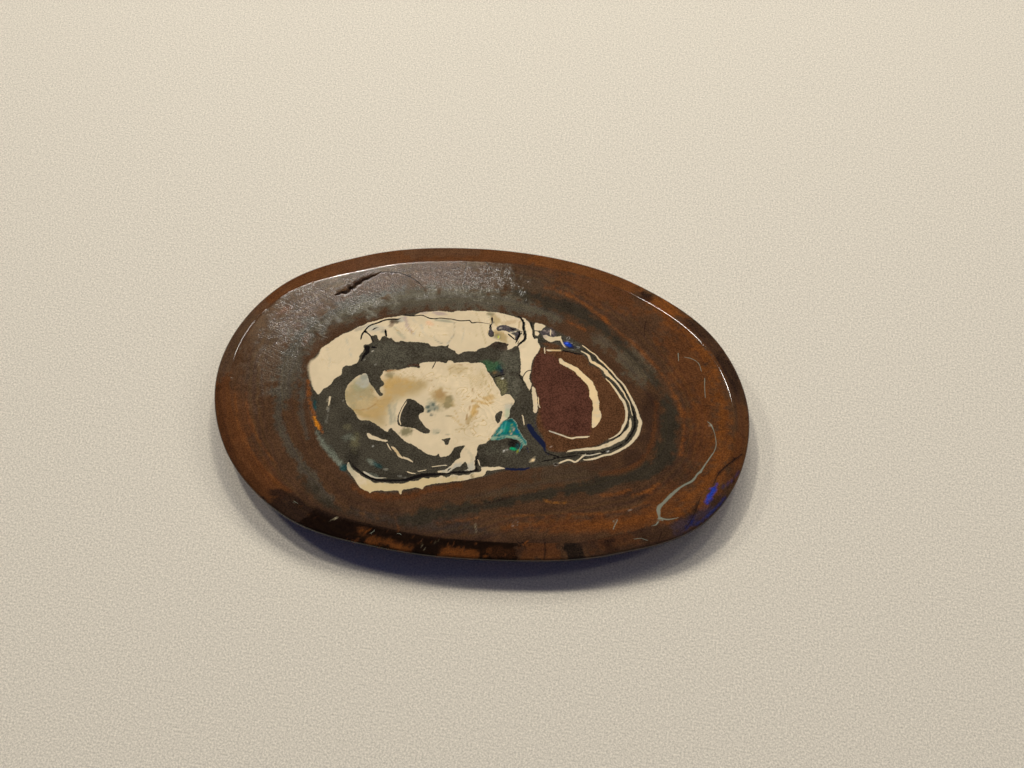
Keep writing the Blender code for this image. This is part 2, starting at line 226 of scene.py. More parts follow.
# Pale veins, each with its width. Those of one group lie well apart.
PALE_VEINS = tuple(tuple(trace(text) for text in group) for group in (
    (
        """7.93,5.66,.08 8.22,5.47 8.6,5.19,.1 8.92,5.03 9.18,4.84 9.43,4.52,.13 9.88,4.2 10.26,3.82
           10.58,3.56 10.83,3.27,.13 11.15,2.92 11.54,2.6,.15 11.85,2.25 12.11,1.82 12.43,1.31,.16
           12.68,.86,.2 12.94,.41 13.13,-.03 13.26,-.48,.25 13.45,-.8,.28 13.42,-1.25 13.39,-1.7,.28
           13.26,-2.14 13.0,-2.65,.25 12.68,-3.1 12.24,-3.5,.2 11.79,-3.84 11.34,-4.14,.17 10.83,-4.3
           10.26,-4.62,.16 9.75,-4.84 9.24,-4.95,.08""",
        "6.15,-2.78,.1 6.5,-2.84,.12 7.07,-2.97 7.58,-3.1 8.03,-3.16,.14 8.35,-3.03 8.79,-2.94,.16 9.3,-2.84",
        "4.71,4.9,.12 4.78,4.58,.1",
        "4.81,.16,.08 4.87,-.29 5.0,-.67",
        "-6.89,-5.8,.08 -6.57,-6.24,.06",
        "-5.3,-6.82,.16 -4.98,-6.88 -4.66,-7.04,.1",
        "-12.44,-2.2,.14 -12.4,-2.84,.1",
        "-4.79,-8.02,.09 -4.5,-8.08 -4.28,-8.06",
        "-2.88,-7.26,.07 -2.43,-7.14 -1.85,-6.98",
    ),
    (
        """7.9,5.09,.1 8.22,4.96 8.54,4.71,.2 8.73,4.26 9.05,4.13,.25 9.43,3.94 9.75,3.75 10.0,3.56,.3
           10.26,3.24,.36 10.58,2.98,.22 11.15,2.5,.16 11.54,2.0 11.85,1.62,.13 12.04,1.24,.1
           12.36,.8,.07 12.55,.22 12.72,-.3,.05""",
        "9.14,-4.52,.1 9.62,-4.49 10.2,-4.27 10.45,-4.17",
        "5.03,4.8,.15 5.48,4.87 5.92,4.93 6.24,4.96,.1",
        "3.75,-1.7,.1 3.85,-2.05 3.95,-2.4",
        "-6.38,-6.05,.2 -6.06,-6.31 -5.74,-6.69 -5.5,-6.82,.12",
        "-3.96,-7.84,.07 -3.45,-7.65",
        "-8.9,-1.0,.12 -8.7,-1.25 -8.5,-1.4,.08",
    ),
    (
        """10.26,2.71,.1 10.58,2.45 10.96,2.01,.16 11.28,1.62 11.6,1.18,.22 11.92,.8 12.11,.35,.22
           12.24,-.1 12.27,-.61,.2 12.24,-1.05 12.08,-1.5 11.98,-1.88,.15 11.79,-2.2 11.47,-2.52,.1
           11.09,-2.78,.06""",
        "7.33,-5.48,.14 7.58,-5.32 7.96,-5.13 8.28,-5.17 8.54,-5.25 8.79,-5.03 9.05,-4.71 9.24,-4.52",
        "5.96,6.05,.15 6.11,5.73 6.37,5.35,.08",
        "5.0,6.75,.12 5.02,6.37,.1",
        "-6.06,-1.82,.1 -6.25,-2.39 -6.35,-2.97 -6.32,-3.48 -6.16,-3.8,.08",
        "-8.29,-8.54,.15 -7.85,-8.73 -7.27,-8.89,.12 -6.57,-8.79,.05",
        ".7,-6.2,.1 .86,-6.56,.07",
    ),
    (
        """12.6,-.8,.15 12.66,-1.2,.2 12.6,-1.69,.25 12.34,-2.14,.36 12.11,-2.52,.4 11.73,-2.82,.36
           11.28,-3.16,.36 10.71,-3.5,.32 10.26,-3.73,.26 9.62,-3.89,.22 9.18,-4.0 8.47,-4.17,.15
           7.96,-4.33 7.8,-4.42,.06""",
    ),
))

# Fine dark cracks in and round the opal.
DARK_CRACKS = tuple(trace(text) for text in (
    """-10.94,3.75,.14 -10.94,4.07 -10.84,4.39 -10.72,4.64 -10.56,4.96 -10.27,5.22 -9.76,5.5,.14
       -9.38,5.76 -8.99,5.92 -8.61,6.02 -8.23,6.05 -8.0,6.14,.08""",
    "-10.75,4.45,.12 -10.46,4.33 -10.14,4.07 -10.02,3.82 -9.89,3.62,.1",
    "-10.08,4.77,.1 -9.95,4.9 -9.76,5.0,.08",
    "-9.0,4.75,.2 -8.87,4.33,.14",
    """-7.59,6.53,.1 -7.02,6.56 -6.57,6.65 -6.19,6.75 -5.81,6.65 -5.43,6.53 -4.98,6.56 -4.53,6.69
       -3.9,6.69 -3.58,6.72 -2.94,6.65 -2.43,6.72 -2.17,6.78 -2.01,6.8 -1.82,6.59 -1.54,6.65
       -1.34,6.72,.08 -.39,6.72,.04""",
    "2.1,7.77,.12 2.35,7.58,.16 2.58,7.2 2.61,6.75 2.77,6.3 2.9,5.92 2.86,5.54 2.61,5.22 2.45,4.9,.14",
    "3.28,2.05,.08 3.5,2.52 3.85,2.7",
    "-.15,7.25,.2 -.07,6.8,.08 -.15,6.55 -.23,6.37",
    "1.65,6.46,.14 2.0,6.35 2.42,6.17,.18 2.35,5.73,.2 2.23,5.2,.1",
    "1.53,5.86,.12 1.75,5.7 1.97,5.54",
    "-4.4,1.78,.1 -4.25,2.36,.08",
    "6.05,-4.71,.1 6.6,-4.87 7.33,-4.97 7.96,-4.84 8.6,-4.62,.07",
    "5.86,-5.57,.1 6.24,-5.41 6.63,-5.32 6.88,-5.13 7.26,-5.03,.07",
    "6.24,4.93,.12 6.94,4.9 7.45,4.8 7.9,4.84,.1",
    "1.65,1.94,.1 1.21,1.79 .89,1.56",
    "-1.6,-7.4,.1 -1.48,-7.26",
))

# Black and navy seams beside the opal, each with its width.
BLACK_SEAMS = tuple(trace(text) for text in (
    """-9.75,-7.65,.1 -9.5,-7.95,.14 -8.9,-8.4,.18 -8.0,-8.85,.2 -7.2,-9.05,.22 -6,-8.95,.2 -4.9,-8.75,.24
       -4.2,-8.4,.3 -3.6,-8.15,.34 -3.0,-8.0,.26 -2,-7.8,.18 -1.15,-7.54,.18 -.3,-7.4,.2 .38,-7.2,.18 .89,-7.02,.12""",
    ".62,-4.8,.06 .6,-5.6,.08 .56,-6.4,.12 .68,-7.0,.14",
    "-10.25,2.9,.45 -10.15,2.5,.35 -10.35,2.2,.28 -10.5,1.6,.12",
    "-9.8,3.05,.24 -9.5,3.0,.15",
    "7.95,5.38,.06 8.5,5.0,.08 9.1,4.55,.1 9.7,4.0,.1 10.3,3.6,.1 10.95,2.9,.1 11.5,2.3,.12 12.1,1.5,.14",
    "12.3,1.0,.14 12.6,.4,.16 12.85,-.2,.18 13.0,-.9,.2 13.0,-1.6,.18 12.75,-2.3,.16 12.4,-2.9,.14",
    "12.2,-3.1,.12 11.6,-3.55,.12 10.9,-3.95,.14 10.1,-4.25,.14 9.3,-4.35,.1 8.6,-4.45,.1 7.9,-4.6,.08",
    "12.42,-.2,.08 12.42,-1.1,.1 12.3,-1.7,.1 12.0,-2.25,.1 11.4,-2.75,.08",
    "10.2,2.95,.06 11.0,2.2,.08 11.7,1.35,.08 12.1,.5,.08 12.35,-.4,.08",
    "3.2,7.3,.16 3.35,6.8,.16 3.5,6.2,.18 3.6,5.85,.1",
    "2.95,2.1,.16 3.2,1.7,.14 3.5,1.2,.12",
))
NAVY_SEAMS = tuple(trace(text) for text in (
    "4.39,-2.52,.4 4.71,-2.97,.45 5.03,-3.35,.45 5.41,-3.67,.45 5.73,-3.99,.42 5.86,-4.2,.3",
    "5.86,-4.2,.2 6.05,-4.71,.15 6.31,-4.87,.12",
    "4.78,-1.95,.1 4.97,-2.52,.1",
    "2.99,-6.62,.2 3.5,-6.62 4.01,-6.53 4.46,-6.47 4.9,-6.27,.14",
    "4.5,-4.5,.1 4.65,-4.9,.08",
))

LAMP_TINT = np.array((0.963, 0.909, 0.784))     # the warm light that the colours were matched under


def tone(red, green, blue):
    """A surface colour, from the way it looks under the warm light on a scale of 0 to 255."""
    seen = np.array((red, green, blue)) / 255.0
    linear = np.where(seen <= 0.04045, seen / 12.92, ((seen + 0.055) / 1.055) ** 2.4)
    return linear / LAMP_TINT


COLOURS = {
    "brown": tone(73, 50, 33),
    "umber": tone(79, 60, 45),
    "olive_brown": tone(71, 56, 41),
    "warm_dark": tone(59, 40, 28),
    "rust_brown": tone(90, 52, 26),
    "orange_brown": tone(107, 60, 24),
    "rust": tone(122, 68, 28),
    "dark_rust": tone(52, 29, 15),
    "orange": tone(190, 116, 30),
    "tan_grey": tone(80, 69, 54),
    "grey_green": tone(82, 75, 61),
    "slate": tone(71, 63, 52),
    "smoke": tone(50, 43, 33),
    "matrix": tone(64, 58, 46),
    "pale_matrix": tone(83, 78, 63),
    "dark_matrix": tone(48, 43, 34),
    "purple_grey": tone(74, 66, 66),
    "maroon": tone(80, 48, 35),
    "nut_brown": tone(85, 55, 33),
    "black": tone(24, 20, 17),
    "black_brown": tone(36, 24, 18),
    "tar": tone(22, 12, 7),
    "navy": tone(24, 29, 50),
    "violet": tone(56, 48, 60),
    "blue": tone(20, 56, 150),
    "deep_blue": tone(22, 36, 84),
    "pale_blue": tone(80, 110, 235),
    "cream": tone(214, 191, 151),
    "warm_cream": tone(230, 198, 145),
    "stained_cream": tone(204, 178, 126),
    "bright_cream": tone(228, 204, 162),
    "bone": tone(184, 168, 134),
    "lilac_grey": tone(176, 152, 136),
    "honey": tone(172, 145, 94),
    "gold": tone(188, 148, 82),
    "amber": tone(158, 118, 68),
    "olive": tone(112, 104, 70),
    "grey": tone(134, 128, 112),
    "pale_grey": tone(174, 167, 147),
    "celadon": tone(128, 132, 112),
    "mint": tone(146, 168, 134),
    "cyan": tone(72, 156, 142),
    "teal": tone(24, 104, 98),
    "dark_teal": tone(26, 62, 60),
    "green": tone(56, 84, 54),
    "emerald": tone(10, 132, 84),
    "yellow_green": tone(190, 196, 36),
    # The next colour is painted shade, used to darken the face towards its near edge.
    "pink": tone(220, 176, 134),
    "shade_grey": tone(57, 46, 38),
    "dull_honey": tone(160, 143, 102),
    "white": tone(232, 224, 204),
}

# Soft patches in the ironstone: (colour, strength, x, y, half-length, half-width, tilt in degrees).
OUTER_PATCHES = (
    ("umber", 0.8, -18.6, 1.5, 1.8, 5.0, -8),
    ("umber", 0.6, -13.5, 9.3, 4.5, 1.4, 32),
    ("olive_brown", 0.7, 3.0, 11.2, 5.5, 1.0, 0),
    ("rust_brown", 0.7, 8.5, 11.2, 4.0, 1.2, -15),
    ("rust_brown", 0.7, 17.0, 5.2, 1.8, 4.6, 25),
    ("rust_brown", 0.85, 18.6, -1.0, 1.3, 4.2, 0),
    ("rust_brown", 0.8, 16.2, -7.6, 1.3, 2.0, -45),
    # Painted reflection: the ring between the pale veins and the smoke band is painted greyer at its top, where a pale
    # veil is mirrored in the polish.
    ("tan_grey", 0.95, 12.4, 4.5, 2.0, 1.1, -48),
    ("tan_grey", 0.8, 9.6, 6.3, 1.2, 0.7, -35),
    ("olive_brown", 0.8, 8.2, -6.4, 3.2, 0.9, 8),
    # Painted shade: the ring and the stone right of the nodule are painted darker, where no veil is mirrored.
    ("warm_dark", 0.95, 14.3, -0.6, 1.1, 2.3, 0),
    ("warm_dark", 0.9, 13.2, -4.2, 1.1, 0.9, 35),
    ("warm_dark", 0.6, 10.6, -5.4, 1.2, 0.5, 15),
    ("brown", 0.8, -11.0, -9.4, 2.0, 0.9, -38),
    ("rust_brown", 0.5, -19.6, -5.0, 0.8, 3.0, 20),
    ("rust_brown", 0.4, -16.6, -9.3, 2.2, 0.7, -42),
    # Painted shade: more darkening right of the nodule, below its middle.
    ("warm_dark", 0.5, 16.8, -3.6, 1.6, 2.6, -10),
    ("warm_dark", 0.45, 13.8, -7.4, 2.2, 0.7, 25),
    ("rust_brown", 0.6, 12.5, -10.2, 3.2, 0.8, 15),
    # Painted shade: the face is painted darker towards its near edge.
    ("shade_grey", 0.9, -3.4, -12.4, 5.5, 0.75, 0),
    ("shade_grey", 0.6, -1.6, -11.6, 2.6, 0.6, 14),
    ("warm_dark", 0.5, -7.4, -11.2, 3.0, 0.6, -12),
    ("tan_grey", 0.4, -1.5, 9.9, 4.5, 0.7, 0),
)

# Soft bands and streaks in the ironstone: (colour, strength, blur in mm, path with widths).
OUTER_STREAKS = (
    ("umber", 0.75, 0.4, "-14.9,2.2,.8 -13.6,4.4,1.0 -12.2,5.6,1.3 -10.4,6.7,1.6 -8,7.6,1.5 -5,8.2,1.2 -2,8.5,.8"),
    ("slate", 0.9, 0.5, "-16.1,-2.4,2.0 -16.3,-1 -16.4,.6 -16.1,2.2 -15.3,3.9 -14.1,5.3,1.8 -12.5,6.5 -10.9,7.5,1.4"),
    ("grey_green", 0.9, 0.6, """-12.6,5.9,1.6 -10.6,7.1,2.0 -8,8.0 -5,8.7 -2,9.0 .6,9.1 2.4,8.9,1.6 4,8.5,1.0
        5.5,8.0,.6"""),
    ("smoke", 0.45, 0.25, "-16.7,1.4,.5 -16.1,3.0 -15.1,4.6 -13.7,6.0 -12,7.3,.6 -10.3,8.3 -8.3,8.9,.5 -6.3,9.3"),
    ("slate", 0.85, 0.25, """-16.5,-2.5,.7 -16.5,-4 -16.0,-5.4 -15.2,-6.6 -14.4,-7.6 -13.2,-9.0,.9 -12.0,-10.3,1.1
        -10.8,-11.4,.9"""),
    ("slate", 0.7, 0.2, "-14.95,-1,.5 -14.75,-2.5 -14.5,-3.9 -14.0,-5.2,.3 -13.5,-6.1"),
    ("brown", 0.7, 0.2, "-15.5,-2.0,.4 -15.5,-3.4 -15.2,-4.8 -14.5,-6.1 -13.8,-7.1"),
    ("smoke", 0.85, 0.4, "-13.4,-9.7,.3 -12.0,-10.9,.9 -10.6,-11.9,.9 -8.5,-12.6,.6 -6,-12.9,.6 -3,-13.0,.4"),
    ("smoke", 0.95, 0.4, """1.5,10.2,.6 3.5,9.8,1.0 5.5,9.3,1.4 7.2,8.8,1.4 8.7,8.1,1.1 9.8,7.3,.9 10.8,6.5,.7
        12,5.4,.5 13.2,4.2,.4 14.3,3.0,.5 15.1,2.0,.6"""),
    ("smoke", 0.97, 0.28, """15.2,1.5,.6 15.7,.6,1.1 15.9,-.8,1.4 15.9,-2.2,1.5 15.7,-3.4,1.5 15.1,-4.5,1.3 14.2,-5.4,1.2
        13,-6.0,1.0 11.2,-6.7,1.1 9.4,-7.4,1.0 7.4,-8.0,.9 5.2,-8.9,.8 3,-9.7,.7 1,-10.4,.9 -1,-11.0,1.0
        -3,-11.7,1.1 -4.6,-12.3,.8"""),
    ("olive_brown", 0.8, 0.3, "6.5,-7.3,.5 4.5,-8.1,.6 2.5,-8.9,.5 .5,-9.6,.4"),
    ("rust_brown", 0.55, 0.2, "14.6,1.0,.3 14.65,-1 14.55,-2.8 13.7,-4.6 12.4,-5.5,.4 10.8,-6.0,.3"),
    ("orange_brown", 0.75, 0.6, """13.8,10.1,.5 16.2,8.4 18.2,6.2,.8 19.4,3.6 20.1,.8,1.0 20.4,-1.6 20.3,-3.6,1.0
        19.3,-5.8 18,-7.6 16.6,-9.2,.6"""),
    ("rust_brown", 0.9, 0.5, "15.3,-8.9,1.2 13.5,-9.9 11.2,-10.5,1.4 8.6,-10.8,1.2 6.2,-11.1,.8 3.6,-11.7,.4"),
    ("orange_brown", 0.5, 0.3, "15.5,-8.8,.6 13.5,-9.8 11,-10.4 9,-10.5,.4"),
    ("rust", 0.5, 0.16, """4.0,11.0,.15 5.2,10.8 6.2,10.5,.3 7.5,9.9,.2 8.85,8.9,.3 9.5,8.5 10.6,7.6,.15 11.6,6.9
        12.7,6.0,.3 13.5,5.2 14.4,4.4,.15 15.2,3.4 15.7,2.6 16.4,1.4,.3 16.9,.2 17.1,-1.5,.2 17,-3.3"""),
    ("rust_brown", 0.8, 0.25, "-8.9,-10.0,.4 -7.4,-10.5,.5 -5.5,-10.4 -4,-9.95,.4 -3,-9.4 -1.6,-8.95 -.4,-8.6,.3"),
    ("warm_dark", 0.9, 0.35, "-13.6,-11.1,.4 -10.5,-12.3 -7,-12.95,.7 -2,-13.2 3,-13.0 7.5,-12.4 11,-11.5,.4"),
    ("grey_green", 0.35, 0.1, "-17.2,4.6,.12 -15.4,4.9 -13.6,5.0"),
    ("grey_green", 0.35, 0.1, "-17.4,3.6,.12 -15.8,3.9 -14.4,4.1"),
    ("rust_brown", 0.8, 0.3, "-18.3,5.2,.4 -17.8,5.9"),
    ("rust_brown", 0.5, 0.2, "-15.6,3.5,.3 -15.5,2.5"),
    ("tan_grey", 0.6, 0.1, "10.3,5.1,.14 11.2,4.5 12,3.9 12.9,3.2 13.6,2.7"),
    ("tan_grey", 0.5, 0.1, "11.4,5.6,.12 12.6,4.6 13.8,3.4 14.6,2.5"),
    ("smoke", 0.6, 0.08, "4.4,-8.7,.08 3.4,-9.0 2.2,-9.5 1.1,-9.9"),
    ("black_brown", 0.7, 0.07, "3.9,-8.95,.08 2.6,-9.6 1.1,-10.3 .2,-10.6"),
    ("warm_dark", 0.8, 0.06, "9.5,-5.5,.06 10.0,-6.2 10.3,-6.8"),
    ("warm_dark", 0.85, 0.08, "11.3,2.7,.1 12.5,2.55 12.9,1.7 13.6,1.8 15,1.75 15.6,1.25"),
    ("black_brown", 0.6, 0.08, "-17.8,-4.7,.1 -17.2,-6.3 -16.7,-7.3 -16.1,-8.2"),
    ("rust", 0.7, 0.14, "6.3,7.9,.16 7.1,7.6 7.9,7.2"),
    ("orange", 0.3, 0.12, "6.5,-8.9,.1 7.3,-9.1,.16 8.2,-8.9,.1"),
    ("rust", 0.35, 0.1, "-20.4,-3.0,.1 -19.6,-5.4,.2 -18.2,-7.6 -16.4,-9.5 -14.2,-11.0,.1"),
    ("rust", 0.3, 0.1, "-19.6,-2.0,.1 -18.9,-4.6,.2 -17.5,-6.9 -15.6,-8.8,.1"),
    ("rust", 0.3, 0.1, "8,-9.9,.1 10.4,-9.6,.2 12.8,-9.0 14.6,-8.0,.1"),
    ("rust", 0.3, 0.08, "3,-10.9,.1 5.4,-10.4,.15 7.6,-10.2,.1"),
    ("rust", 0.3, 0.08, "-1.8,-12.1,.1 .2,-11.6,.15 1.4,-11.2,.1"),
    ("rust", 0.6, 0.2, "9.3,8.6,.3 9.7,8.3"),
    ("rust", 0.5, 0.2, "13.5,-7.5,.2 14.8,-6.9,.4 15.6,-6.2,.2"),
    ("rust", 0.45, 0.15, "11,-7.9,.2 12.4,-7.5,.3 13.2,-7.1"),
    # Painted shade: a dark streak inside the fissure, along its far wall.
    ("warm_dark", 0.9, 0.07, "-13.9,7.85,.1 -13.1,8.3,.2 -12.75,8.8,.24 -12.3,9.45,.22 -11.5,10.05,.2 -10.9,10.45,.1"),
)

# The darker stone inside the nodule, written in the same two ways.
INNER_PATCHES = (
    ("pale_matrix", 0.6, -8.2, 2.5, 1.8, 1.1, 8),
    ("pale_matrix", 0.3, -4.6, 3.3, 1.6, 0.5, 0),
    ("pale_matrix", 0.9, 2.0, 3.0, 0.8, 1.3, 0),
    ("pale_matrix", 0.9, 2.5, 0.8, 0.6, 1.2, 8),
    ("pale_matrix", 0.5, 2.2, -5.1, 1.2, 0.5, 0),
    ("dark_matrix", 0.9, -8.4, -4.6, 1.1, 0.35, -14),
    ("dark_matrix", 0.8, -9.5, -7.4, 0.6, 0.7, 0),
    ("dark_matrix", 0.7, -5.5, -2.8, 0.9, 1.2, 0),
    ("dark_matrix", 0.7, -6.0, -8.6, 2.6, 0.35, 10),
    ("dark_matrix", 0.6, 1.2, -6.2, 1.0, 0.4, 10),
    ("dark_matrix", 0.5, -1.2, -6.0, 0.4, 0.8, -20),
    ("dark_matrix", 0.6, -10.6, 0.6, 0.6, 1.2, 30),
    ("purple_grey", 0.8, 4.9, 6.5, 0.8, 0.35, 0),
    ("maroon", 0.5, 0.8, 4.75, 0.7, 0.4, 0),
    ("dark_matrix", 0.8, 0.8, 4.7, 0.5, 0.3, 0),
    ("dark_matrix", 0.7, 4.6, 5.5, 0.6, 0.4, 0),
    ("nut_brown", 0.9, 5.2, 5.3, 0.8, 0.22, -5),
    ("smoke", 0.5, 7.9, -4.7, 1.1, 0.2, 5),
    ("purple_grey", 0.9, 1.2, 6.5, 0.9, 0.35, -5),
    ("purple_grey", 0.9, 2.25, 5.9, 0.25, 0.5, 0),
    ("purple_grey", 0.7, 0.0, 5.9, 0.2, 0.5, 0),
    ("dark_teal", 0.8, -13.6, -2.95, 0.14, 0.4, 10),
    ("dark_teal", 0.7, -13.5, -3.4, 0.14, 0.25, 10),
    ("dark_teal", 0.8, -10.1, -8.3, 0.34, 0.28, 0),
    ("olive", 0.4, -9.6, -5.9, 0.4, 0.7, 5),
    ("celadon", 0.25, -10.2, -5.6, 0.5, 0.4, 0),
    ("olive", 0.25, -10.5, -4.7, 0.4, 0.3, 0),
    ("celadon", 0.5, -7.85, -7.6, 0.4, 0.2, -30),
    ("dark_teal", 0.7, -7.4, -7.75, 0.5, 0.2, -25),
    ("celadon", 0.3, -7.5, -8.7, 0.6, 0.12, -10),
    ("green", 0.9, 0.44, 2.62, 0.9, 0.55, -10),
    ("dark_teal", 0.7, 1.2, 2.35, 0.3, 0.5, 0),
    ("navy", 0.8, 1.45, 2.15, 0.22, 0.3, 0),
    ("amber", 0.5, 0.9, 2.05, 0.25, 0.15, 0),
    ("olive", 0.8, 1.65, 0.95, 0.4, 0.8, 25),
    ("black", 0.9, 3.45, -4.3, 0.5, 0.45, -30),
    ("dark_teal", 0.8, 3.7, -4.5, 0.2, 0.3, 0),
    ("emerald", 0.95, 3.4, -4.8, 0.22, 0.13, 0),
    ("yellow_green", 0.5, 3.85, -4.8, 0.05, 0.2, -20),
    ("nut_brown", 0.4, 6.9, -4.2, 0.9, 0.3, 0),
)
INNER_STREAKS = (
    ("rust", 0.8, 0.14, """-14.6,-.9,.2 -14.54,-1.05,.26 -14.35,-1.69 -14.16,-2.33 -13.97,-2.97,.24 -13.71,-3.54
        -13.4,-3.95,.22 -13.33,-4.33 -12.95,-4.71,.26 -12.63,-5.22,.18 -12.31,-5.6,.12"""),
    ("orange", 1.0, 0.1, "-13.35,-4.15,.16 -13.2,-4.5,.34 -13.0,-4.85,.36 -12.8,-5.2,.1"),
    ("celadon", 0.45, 0.2, "-12.89,-5.54,.3 -12.5,-6.05,.4 -11.93,-6.69 -11.35,-7.2 -10.78,-7.71 -10.4,-8.09"),
    ("bone", 0.5, 0.08, "-12.45,-2.2,.1 -12.6,-2.6 -12.4,-2.8 -12.45,-3.2"),
    ("grey", 0.5, 0.08, "-12.36,-3.2,.08 -12.3,-4.5"),
    ("grey", 0.5, 0.08, "-5.5,-8.45,.08 -4.9,-8.55"),
    ("lilac_grey", 0.7, 0.06, "4.35,6.75,.08 4.7,6.6 5.0,6.7 5.3,6.5"),
    ("maroon", 0.8, 0.06, "-6.45,1.68,.14 -6.0,1.85 -5.6,1.8"),
)

# Patches on the rim: (colour, strength, directions from and to in degrees, part of the way down from and to).
RIM_PATCHES = (
    ("rust_brown", 0.7, 78, 166, -0.05, 1.2),
    ("orange_brown", 0.5, 44, 80, -0.05, 1.2),
    ("umber", 0.4, 100, 124, 0.3, 1.2),
    ("umber", 0.5, 162, 184, 0.0, 1.2),
    ("rust_brown", 0.7, 184, 219, -0.1, 1.2),
    ("dark_rust", 0.5, 186, 222, 0.5, 1.2),
    ("black_brown", 0.85, 217, 240, 0.03, 1.2),
    ("tar", 0.97, 226, 294, 0.03, 1.4),
    ("dark_rust", 0.85, 242, 257, 0.52, 1.0),
    ("rust", 0.35, 243, 256, 0.6, 0.95),
    ("dark_rust", 0.85, 265.5, 280, 0.48, 1.0),
    ("rust", 0.35, 266, 280, 0.52, 0.95),
    ("rust_brown", 0.5, 239, 242, 0.3, 0.8),
    ("dark_rust", 0.6, 281, 291, 0.3, 0.9),
    ("warm_dark", 0.9, 290, 304, 0.0, 1.2),
    ("rust_brown", 0.65, 292, 303, 0.0, 0.9),
    ("black", 0.85, 303, 309, 0.03, 1.2),
    ("warm_dark", 0.85, 309, 327, 0.0, 1.2),
    ("rust_brown", 0.4, 311, 322, 0.0, 0.7),
    ("black_brown", 0.7, 314, 317, 0.1, 0.8),
    ("warm_dark", 0.8, 324, 345, 0.2, 1.2),
    ("violet", 0.5, 330, 341, 0.3, 0.9),
    ("rust", 0.4, 338, 350, 0.0, 0.35),
    ("warm_dark", 0.4, 345, 372, 0.15, 1.2),
    ("rust_brown", 0.5, 345, 366, 0.3, 1.2),
    ("rust_brown", 0.7, 350, 358, 0.1, 0.8),
    ("orange_brown", 0.8, 31, 41, -0.1, 0.9),
    ("black_brown", 0.85, 41, 43.5, -0.1, 0.8),
    ("black_brown", 0.6, 23, 31, 0.1, 1.0),
    ("warm_dark", 0.65, 6, 26, 0.1, 1.0),
    ("black_brown", 0.6, 9, 19, 0.2, 0.8),
)
RIM_SPECKS = (("dark_rust", 0.7, 224, 292, 0.05, 1.1), ("rust_brown", 0.45, 238, 292, 0.2, 1.0))
RIM_STREAKS = (
    ("blue", 0.9, 0.14, "19.45,-7.3,.2 19.75,-6.5,.45 20.1,-5.6,.15"),
    ("deep_blue", 0.9, 0.12, "17.9,-10.0,.1 18.3,-9.3,.25 18.6,-8.5,.1"),
    ("deep_blue", 0.8, 0.14, "18.6,-9.5,.1 19.6,-8.5,.2 20.4,-7.5,.3 21.0,-6.6,.1"),
    ("deep_blue", 0.5, 0.1, "20.5,-5.9,.1 21.3,-5.2,.2 21.9,-4.2,.1"),
    ("black_brown", 0.8, 0.08, "18.7,-6.9,.1 18.6,-7.9,.16 18.3,-8.6,.1"),
    ("black_brown", 0.8, 0.12, "21.94,-2.7,.12 21.18,-3.47,.2 20.69,-4.0 20.2,-4.66"),
    ("black_brown", 0.7, 0.1, "21.2,-4.3,.1 21.5,-5.1,.2 21.0,-5.9,.1"),
    ("warm_dark", 0.6, 0.08, "6.5,13.85,.08 9,13.2 11,12.55"),
    ("black_brown", 0.6, 0.15, "-11.5,-12.4,.2 -9.9,-12.8 -9.2,-12.7"),
    ("black_brown", 0.8, 0.06, "6.9,-12.1,.1 7.05,-13.0,.12 7.1,-14.0,.1"),
    ("rust", 0.8, 0.06, "5.0,-13.1,.08 5.3,-12.95,.12 5.6,-12.6,.06"),
    ("rust", 0.6, 0.06, "-7.8,-13.6,.1 -7.4,-13.75 -7.0,-13.4,.1"),
    ("bone", 0.2, 0.04, "-2.8,-13.8,.02 -2.7,-14.2,.04 -2.4,-14.5,.02"),
    ("bone", 0.2, 0.04, "-1.75,-14.0,.02 -1.6,-13.7,.04 -1.2,-13.45 -.9,-13.4,.02"),
    # Painted highlight: a bright glint by the near rim, over a chip.
    ("bone", 0.45, 0.04, "-10.2,-13.05,.03 -9.9,-12.85,.1 -9.6,-12.75,.03"),
    ("rust_brown", 0.6, 0.06, "-5.1,-12.4,.08 -4.8,-12.8,.14 -4.65,-13.3,.08"),
    ("bone", 0.25, 0.05, "1.05,-11.5,.03 1.3,-11.75,.05 1.4,-12.2,.08 1.5,-12.5,.03"),
)

